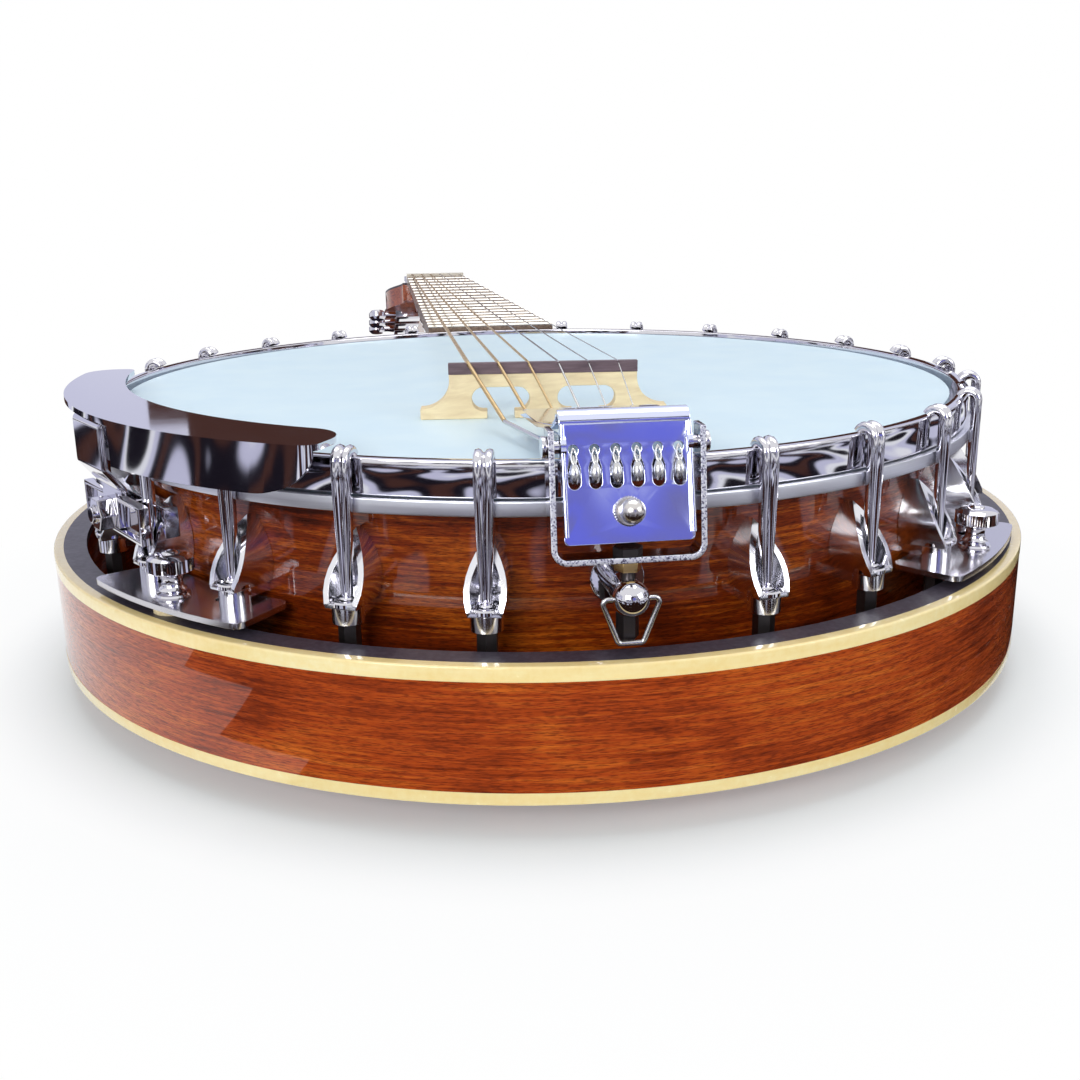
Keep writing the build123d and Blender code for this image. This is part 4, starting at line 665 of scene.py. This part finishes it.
def hook():
    """Grooved strap that rises from the shoe and rolls over the hoop."""
    section = [(-2.45, -0.9), (-2.1, -1.3), (2.1, -1.3), (2.45, -0.9), (2.45, 0.5), (2.1, 1.1), (1.4, 1.32),
               (0.7, 1.1), (0.25, 0.5), (0, 0.35), (-0.25, 0.5), (-0.7, 1.1), (-1.4, 1.32), (-2.1, 1.1),
               (-2.45, 0.5)]
    bend, roll, steps = 2.6, 152, 12
    middle = (ROD_LINE - bend, HOOP_TOP - 0.5)
    frames = [hook_frame((ROD_LINE, BOSS_TOP + 1.2), (0, 1), 0.60),
              hook_frame((ROD_LINE, BOSS_TOP + 2.6), (0, 1), 0.62),
              hook_frame((ROD_LINE, (BOSS_TOP + HOOP_LOW) / 2), (0, 1), 0.82),
              hook_frame((ROD_LINE, HOOP_LOW), (0, 1), 1.0)]
    for step in range(steps + 1):
        turn = radians(step * roll / steps)
        point = (middle[0] + bend * cos(turn), middle[1] + bend * sin(turn))
        frames.append(hook_frame(point, (-sin(turn), cos(turn)), 1.0))
    strap = carried(section, frames)
    foot, head = low("bracket_hooks"), BOSS_TOP + 1.6
    rod = lathe([(0, foot), (ROD_R - 0.3, foot), (ROD_R, foot + 0.4), (ROD_R, head), (0, head)], 20)
    bmesh.ops.translate(rod, vec=(ROD_LINE, 0, 0), verts=rod.verts)
    return joined(strap, rod)


def bracket_hooks():
    made("bracket_hooks_grooved", copies(hook(), [round_pot(angle) for angle in HOOKS]), "banjo", chrome,
         "chrome", "bracket_hooks", crease=50)


def shoe_rims():
    """Rolled lip round the top of each boss, and the collar on the cup's floor."""
    lip = [(BOSS_R - 1.4, BOSS_TOP - 0.2), (BOSS_R - 0.9, BOSS_TOP + 0.35), (BOSS_R, BOSS_TOP + 0.4),
           (BOSS_R + 0.4, BOSS_TOP), (BOSS_R + 0.42, BOSS_TOP - 0.9), (BOSS_R, BOSS_TOP - 1.3)]
    collar = [(ROD_R, BOSS_TOP - 0.2), (ROD_R + 1.1, BOSS_TOP - 0.2), (ROD_R + 1.1, BOSS_TOP + 0.7),
              (ROD_R + 0.7, BOSS_TOP + 1.1), (ROD_R, BOSS_TOP + 1.1)]
    turned = joined(lathe(lip, 32), lathe(collar, 24))
    bmesh.ops.translate(turned, vec=(ROD_LINE, 0, 0), verts=turned.verts)
    made("shoe_rims", copies(turned, [round_pot(angle) for angle in HOOKS]), "banjo", chrome, "chrome",
         crease=40)


def taller_leaves(form):
    """Draws the leaves of the shoes up to a higher tip, fullest halfway."""
    fuller, taller = 0.16, 1.26
    foot, tip = BOSS_TOP * MM, high("bracket_shoes") * MM
    for vert in form.verts:
        if vert.co.z > foot + 0.3 * MM:
            share = (vert.co.z - foot) / (tip - foot)
            turn = degrees(atan2(vert.co.x, -vert.co.y))
            station = BRACKET_TURN + STATION * round((turn - BRACKET_TURN) / STATION)
            radius = vert.co.xy.length
            turn = radians(station + (turn - station) * (1 + fuller * sin(pi * share ** 0.8)))
            height = foot + (vert.co.z - foot) * taller
            vert.co = (radius * sin(turn), -radius * cos(turn), height)


# ---------------------------------------------------------------- thumb screws and press screw
TAIL_LEAN = radians(14.5)
THUMB_R = 6.2
THUMB_TEETH = 48
KNOB_R = 3.75
KNOB_TEETH = 36


def thumb_outline(foot, top):
    """From the domed top down the knurled edge and the waisted neck to the foot."""
    return [(0, top + 0.3), (1.2, top + 0.25), (2.0, top - 0.1), (2.2, top - 0.5), (3.2, top - 0.5),
            (4.9, top - 0.9), (5.7, top - 1.5), (THUMB_R, top - 1.7), (THUMB_R, top - 3.4),
            (THUMB_R, top - 5.1), (5.7, top - 5.4), (3.7, top - 5.9), (2.9, top - 7.0),
            (2.7, top - 8.2), (3.0, top - 9.6), (3.8, top - 10.4), (3.1, top - 10.8),
            (3.1, top - 11.2), (4.4, foot + 1.1), (4.7, foot + 0.6), (4.5, foot), (2.5, foot),
            (2.5, foot - 13.0), (0, foot - 13.0)]


def thumb_screws():
    for corner in ("tail_treble", "neck_treble", "neck_bass", "tail_bass"):
        node = f"thumb_screw_{corner}"
        (x0, y0, _), (x1, y1, top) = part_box(node)
        outline = thumb_outline(high("bracket_plates"), top / MM)
        form = knurled(lathe(outline, 2 * THUMB_TEETH), THUMB_R, THUMB_TEETH)
        bmesh.ops.translate(form, vec=((x0 + x1) / 2 / MM, (y0 + y1) / 2 / MM, 0), verts=form.verts)
        made(f"{node}_knurled", form, node, chrome, "chrome", node, crease=40)


def press_screw():
    """Knurled disc with a ball end, square to the leaning plate."""
    (_, front, _), (_, _, top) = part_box("tailpiece_press_screw")
    out = Vector((0, -cos(TAIL_LEAN), sin(TAIL_LEAN)))
    ball = 3.1
    middle = Vector((0, front / MM + ball + 0.2, top / MM - 3.7 * cos(TAIL_LEAN)))
    outline = [(0, -18.0), (1.8, -18.0), (1.8, -6.6), (3.3, -6.6), (KNOB_R, -6.2), (KNOB_R, -5.1),
               (KNOB_R, -3.9), (3.3, -3.5), (2.0, -3.3), (1.9, -2.6)] + arc((0, 0), ball, -48, 90, 9)
    form = knurled(lathe(outline, 2 * KNOB_TEETH), KNOB_R, KNOB_TEETH, 0.08)
    turn = out.to_track_quat("Z", "Y").to_matrix().to_4x4()
    bmesh.ops.transform(form, matrix=Matrix.Translation(middle) @ turn, verts=form.verts)
    made("tailpiece_press_screw_knurled", form, "tailpiece_press_screw", screw_nickel, "chrome",
         "tailpiece_press_screw", crease=40)


# ---------------------------------------------------------------- tail plate
SHEET = 1.3
PLATE_TALL = 27.2
STIRRUP_HALF = out_to("tailpiece_stirrup")
PLATE_HALF = STIRRUP_HALF - 3.1
PIN_LOW, PIN_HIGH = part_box("tailpiece_pins")
PIVOT = Vector((0, PIN_LOW[1] + PIN_HIGH[1], PIN_LOW[2] + PIN_HIGH[2])) / 2 / MM
KNEE = PIVOT + Vector((0, 1.0, 4.8))
UP_PLATE = Vector((0, sin(TAIL_LEAN), cos(TAIL_LEAN)))
OFF_PLATE = Vector((0, -cos(TAIL_LEAN), sin(TAIL_LEAN)))
ON_PLATE = Matrix.Translation(KNEE - UP_PLATE * PLATE_TALL) @ Matrix(
    ((1, 0, 0, 0), (0, UP_PLATE.y, OFF_PLATE.y, 0), (0, UP_PLATE.z, OFF_PLATE.z, 0), (0, 0, 0, 1)))
KEYHOLES = [(k / 5 - 0.5) * 2 * (PLATE_HALF - 3.15) for k in range(6)]


def loop(form, points):
    """A closed loop of edges."""
    corners = [form.verts.new((x, y, 0)) for x, y in points]
    return [form.edges.new(pair) for pair in zip(corners, corners[1:] + corners[:1])]


def keyhole(x):
    """Rounded slot for a ball end, with a neck and a round eye above it."""
    slot = arc((x, 13.6), 1.55, 180, 360, 8) + [(x + 1.5, 17.2), (x + 0.8, 19.4)]
    return slot + arc((x, 21.4), 1.2, -52, 232, 10) + [(x - 0.8, 19.4), (x - 1.5, 17.2)]


def band(line, thickness):
    """Closed outline of a strip that follows a line."""
    points = [Vector(point) for point in line]
    sides = []
    for before, point, after in zip(points[:1] + points, points, points[1:] + points[-1:]):
        along = (after - before).normalized()
        sides.append((point, Vector((-along.y, along.x)) * thickness / 2))
    return [point + side for point, side in sides] + [point - side for point, side in reversed(sides)]


def pierced_sheet():
    """The plate, with its keyholes and the press screw's hole."""
    form = bmesh.new()
    foot, head, side = -1.1, PLATE_TALL + 0.4, PLATE_HALF
    loop(form, rounded(((-side, foot), (side, foot), (side, head), (-side, head)), 1.2))
    for x in KEYHOLES:
        loop(form, keyhole(x))
    loop(form, arc((0, 6.0), 1.95, 0, 345, 23))
    bmesh.ops.triangle_fill(form, use_beauty=True, use_dissolve=False, edges=form.edges, normal=(0, 0, 1))
    bmesh.ops.translate(form, vec=(0, 0, -SHEET / 2), verts=form.verts)
    front = bmesh.ops.extrude_face_region(form, geom=form.faces[:])["geom"]
    raised = [item for item in front if isinstance(item, bmesh.types.BMVert)]
    bmesh.ops.translate(form, vec=(0, 0, SHEET), verts=raised)
    bmesh.ops.recalc_face_normals(form, faces=form.faces)
    rounded_edges(form, 0.28, 60)
    bmesh.ops.transform(form, matrix=ON_PLATE, verts=form.verts)
    return form


def pressure_leaf():
    """The sheet's top folds over and runs back as a wider leaf."""
    line = [(KNEE.y, KNEE.z)] + arc((KNEE.y + 2.6, KNEE.z + 0.2), 2.6, 180, 0, 12)[1:]
    far = line[-1][0]
    line += [(far + 3.0, KNEE.z - 1.6), (far + 10.0, KNEE.z - 2.2), (far + 39.0, KNEE.z - 4.2),
             (far + 41.0, KNEE.z - 4.4)]
    frames = [Matrix(((0, 0, 1, x), (1, 0, 0, 0), (0, 1, 0, 0), (0, 0, 0, 1))) for x in (-1, 1)]
    form = carried(band(line, SHEET), frames)
    for vert in form.verts:
        flare = min(1.0, max(0.0, (vert.co.y - far - 1.0) / 9.0))
        corner = max(0.0, vert.co.y - far - 39.2)
        vert.co.x *= PLATE_HALF + (STIRRUP_HALF - PLATE_HALF) * flare - corner
    rounded_edges(form, 0.25, 60)
    return form


def rail(side):
    """Rolled edge of the plate, with an ear round the pin."""
    section = rounded(((-0.55, 0.2), (0.55, 0.2), (0.55, 2.2), (-0.55, 2.2)), 0.45)
    middle = side * (PLATE_HALF - 0.55)
    frames = [ON_PLATE @ Matrix(((1, 0, 0, middle), (0, 0, -1, along), (0, 1, 0, 0), (0, 0, 0, 1)))
              for along in (27.4, 24.0, 12.0, 1.6, 0.9)]
    bead = carried(section, frames)
    ear = lathe([(1.6, 0), (2.9, 0), (2.9, SHEET), (1.6, SHEET), (1.6, 0)], 32)
    turn = Matrix.Translation(PIVOT + Vector((side * (PLATE_HALF - SHEET / 2) - SHEET / 2, 0, 0)))
    bmesh.ops.transform(ear, matrix=turn @ Matrix.Rotation(radians(90), 4, "Y"), verts=ear.verts)
    return joined(bead, ear)


def tail_plate():
    form = joined(pierced_sheet(), pressure_leaf(), rail(-1), rail(1))
    kept_flat(made("tailpiece_plate_pierced", form, "tailpiece_plate", plate_chrome, "chrome",
                   "tailpiece_plate", crease=40))


def string_loops():
    """Wire eye that each string is twisted into above its ball end."""
    eye = lathe([(0.62 + 0.2 * cos(turn * pi / 4), 0.2 * sin(turn * pi / 4)) for turn in range(9)], 24)
    bmesh.ops.scale(eye, vec=(1.0, 2.8, 1.0), verts=eye.verts)
    places = [ON_PLATE @ Matrix.Translation((x, 19.8, 0.9)) @ Matrix.Rotation(radians(-12), 4, "X")
              for x in KEYHOLES]
    made("string_loops", copies(eye, places), "string_tails", bright_steel, "plain_steel", crease=60)


# ---------------------------------------------------------------- building
NEW_SHAPES = {"resonator_wall", "tailpiece_plate", "tension_hoop", "flesh_hoop", "bindings",
              "bracket_hooks", "tailpiece_press_screw", "thumb_screw_tail_treble",
              "thumb_screw_neck_treble", "thumb_screw_neck_bass", "thumb_screw_tail_bass"}
EDGES = {"armrest_plate": 0.45, "tailpiece_stirrup": 0.25, "bracket_plates": 0.3,
         "bracket_shoes": 0.3, "armrest_clamp": 0.25, "armrest_jaw": 0.3, "armrest_strap": 0.3,
         "armrest_bolt_and_nut": 0.3, "tail_cup": 0.3, "hook_nuts": 0.3, "brass_nut": 0.2,
         "hanger_screw_and_nuts": 0.2, "bridge_base": 0.35, "bridge_cap": 0.2, "tailpiece_pins": 0.3,
         "headstock_overlay": 0.3, "truss_cover": 0.3, "tuner_cases": 0.5, "tuner_bushes": 0.3,
         "string_nut": 0.3, "resonator_lugs": 0.3}
PIERCED = {"tailpiece_stirrup", "bracket_plates", "bracket_shoes", "armrest_clamp",
           "armrest_jaw", "armrest_strap", "tail_cup", "bridge_base", "headstock_overlay", "truss_cover",
           "tuner_cases", "hook_nuts", "brass_nut", "hanger_screw_and_nuts", "tuner_bushes"}
RESHAPED = {"armrest_plate": rounded_apron, "bracket_shoes": taller_leaves}
for name in nodes:
    if name not in NEW_SHAPES:
        from_cad(name, FINISHES.get(name, chrome), EDGES.get(name, 0.0))
tension_hoop()
flesh_hoop()
bindings()
resonator_wall()
bracket_hooks()
shoe_rims()
thumb_screws()
press_screw()
tail_plate()
string_loops()


# ---------------------------------------------------------------- studio
def white_for_view(shading, surface, share):
    """Mixes a surface with plain white for what the camera, polished metal and glass see."""
    white = shading.node("ShaderNodeEmission", None, (1, 1, 1, 1))
    path = shading.node("ShaderNodeLightPath").socket.node
    camera_ray, glossy_ray, glass_ray = (Value(shading, path.outputs[f"Is {kind} Ray"])
                                         for kind in ("Camera", "Glossy", "Transmission"))
    larger = {"operation": "MAXIMUM"}
    seen = shading.node("ShaderNodeMath", larger, camera_ray, glossy_ray)
    seen = shading.node("ShaderNodeMath", larger, seen, glass_ray)
    return shading.node("ShaderNodeMixShader", None, seen * share, surface, white)


def floor():
    """Pale floor that turns white away from the object."""
    form = bmesh.new()
    bmesh.ops.create_grid(form, x_segments=1, y_segments=1, size=8)
    ground = in_scene("floor", form)
    paint = Finish("pale_floor", (0.82, 0.89, 0.93), 0.7)
    distance = paint.node("ShaderNodeVectorMath", {"operation": "LENGTH"}, paint.place(), shown="Value")
    whiteness = paint.ramp(distance * 0.5, (0.082, 0.2), (0.096, 0.88), (0.13, 1.0))
    finished(ground, paint)
    surface = Value(paint, paint.shader.outputs[0])
    paint.connect(paint.tree.nodes["Material Output"].inputs["Surface"],
                  white_for_view(paint, surface, whiteness))


def surround():
    """Soft even light, seen as white."""
    world = bpy.data.worlds.new("studio")
    bpy.context.scene.world = world
    world.use_nodes = True
    sky = Shading(world.node_tree)
    light = sky.tree.nodes["Background"]
    light.inputs["Color"].default_value = (0.95, 0.97, 1.0, 1)
    light.inputs["Strength"].default_value = 0.42
    surface = Value(sky, light.outputs[0])
    sky.connect(sky.tree.nodes["World Output"].inputs["Surface"], white_for_view(sky, surface, 1.0))


def area_light(name, place, aim, size, power):
    lamp = bpy.data.lights.new(name, "AREA")
    lamp.shape = "RECTANGLE"
    lamp.size, lamp.size_y = size
    lamp.energy = power
    holder = bpy.data.objects.new(name, lamp)
    bpy.context.scene.collection.objects.link(holder)
    holder.location = place
    holder.rotation_euler = (Vector(aim) - Vector(place)).to_track_quat("-Z", "Y").to_euler()


def card(name, form, patches, *tones, soft=0.01):
    """A card that only polished surfaces see, in one tone or in blotches of several."""
    board = in_scene(name, form)
    paint = Finish(name, (0, 0, 0), 1.0, Emission_Strength=1.0, Specular_IOR_Level=0.0)
    if len(tones) == 1:
        paint.shader.inputs["Emission Color"].default_value = (*tones[0], 1)
    else:
        if patches == "radial":
            blotch = paint.noise(around_pot(paint, 3.3, 2.0), 1.0, 1.0, 0.5, 0.25)
        else:
            blotch = paint.noise(paint.place(), patches, 2.0, 0.5, 0.8)
        start, width = 0.32, 0.36 / len(tones)
        stops = []
        for step, tone in enumerate(tones):
            stops += [(start + width * step + soft, tone), (start + width * (step + 1) - soft, tone)]
        paint.feed("Emission Color", paint.ramp(blotch, *stops))
    finished(board, paint)
    board.visible_camera = False
    board.visible_diffuse = False
    board.visible_shadow = False


def standing_card(name, place, size, patches, *tones, turn=0.0, soft=0.01):
    """Upright card, turned about Z from facing the Y axis."""
    form = bmesh.new()
    bmesh.ops.create_grid(form, x_segments=1, y_segments=1, size=0.5)
    shape = Matrix.Diagonal((size[0], size[1], 1, 1))
    upright = Matrix.Rotation(radians(90), 4, "X")
    bmesh.ops.transform(form, matrix=Matrix.Translation(place) @ Matrix.Rotation(radians(turn), 4, "Z")
                        @ upright @ shape, verts=form.verts)
    card(name, form, patches, *tones, soft=soft)


def floor_card(name, start, end, inner, outer, *tones):
    """Part of a ring on the floor, between two angles from the tail."""
    height, step = 0.0006, 5
    form = bmesh.new()
    near = form.verts.new((inner * sin(radians(start)), -inner * cos(radians(start)), height))
    far = form.verts.new((outer * sin(radians(start)), -outer * cos(radians(start)), height))
    edge = form.edges.new((near, far))
    bmesh.ops.spin(form, geom=[near, far, edge], cent=(0, 0, 0), axis=(0, 0, 1),
                   angle=radians(end - start), steps=round((end - start) / step))
    card(name, form, "radial", *tones)


def cards():
    """Dark, brown, lilac and violet cards that give the plating its contrast."""
    black = (0.012, 0.010, 0.016)
    umber = (0.07, 0.030, 0.024)
    lilac = (0.66, 0.67, 0.84)
    white = (0.95, 0.97, 1.0)
    violet = (0.17, 0.18, 0.70)
    shade_brown = (0.022, 0.010, 0.007)
    floor_card("table_card_inner", -34, 175, 0.172, 0.196, shade_brown)
    floor_card("table_card_middle", -47, 175, 0.196, 0.235, shade_brown)
    floor_card("table_card_outer", -60, 175, 0.235, 0.30, shade_brown)
    floor_card("floor_card", -178, 175, 0.30, 1.6, lilac, black, umber, black, lilac, white, black)
    standing_card("violet_card", (0.20, -1.75, 0.50), (0.60, 0.42), 6.0, violet, (0.20, 0.19, 0.40),
                  violet, (0.45, 0.47, 0.80), soft=0.03)
    standing_card("room_card", (0.0, -2.4, 0.7), (4.0, 1.6), 2.2, black, umber, lilac, black, white)
    standing_card("lilac_card", (0.0, 1.9, 0.9), (5.0, 1.7), 1.0, lilac, (0.72, 0.73, 0.88), soft=0.04)
    standing_card("umber_card_low", (0.255, 1.5, 0.26), (1.29, 0.24), 1.0, umber)
    standing_card("umber_card_high", (0.285, 1.48, 0.40), (1.23, 0.16), 1.0, umber)
    standing_card("left_card", (-2.0, 0.2, 0.5), (2.2, 0.8), 3.0, black, lilac, white, turn=90)
    standing_card("right_card", (2.0, 0.2, 0.5), (2.2, 0.8), 3.0, black, umber, lilac, white, turn=90)


floor()
surround()
area_light("key", (-0.75, -1.3, 0.65), (0, 0, 0.05), (0.8, 0.6), 11.3)
area_light("fill", (1.1, -1.0, 0.7), (0, 0, 0.05), (0.8, 0.6), 5.2)
area_light("top", (0.1, 0.3, 1.8), (0, 0.1, 0.05), (1.6, 1.0), 12.6)
cards()


# ---------------------------------------------------------------- camera
CAMERA_PLACE = (-0.0608, -0.4293, HOOP_TOP * MM + 0.0628)
CAMERA_HEADING = -8.17
CAMERA_DOWN = 16.0
CAMERA_ROLL = -0.78


def camera():
    """Low behind the tail, looking along the neck."""
    lens = bpy.data.cameras.new("camera")
    lens.sensor_width = 36
    lens.lens = 40.7
    lens.clip_start = 0.01
    holder = bpy.data.objects.new("camera", lens)
    bpy.context.scene.collection.objects.link(holder)
    holder.matrix_world = (Matrix.Translation(CAMERA_PLACE)
                           @ Matrix.Rotation(radians(CAMERA_HEADING), 4, "Z")
                           @ Matrix.Rotation(radians(90 - CAMERA_DOWN), 4, "X")
                           @ Matrix.Rotation(radians(CAMERA_ROLL), 4, "Z"))
    bpy.context.scene.camera = holder


camera()
bpy.context.scene.view_settings.view_transform = "Standard"
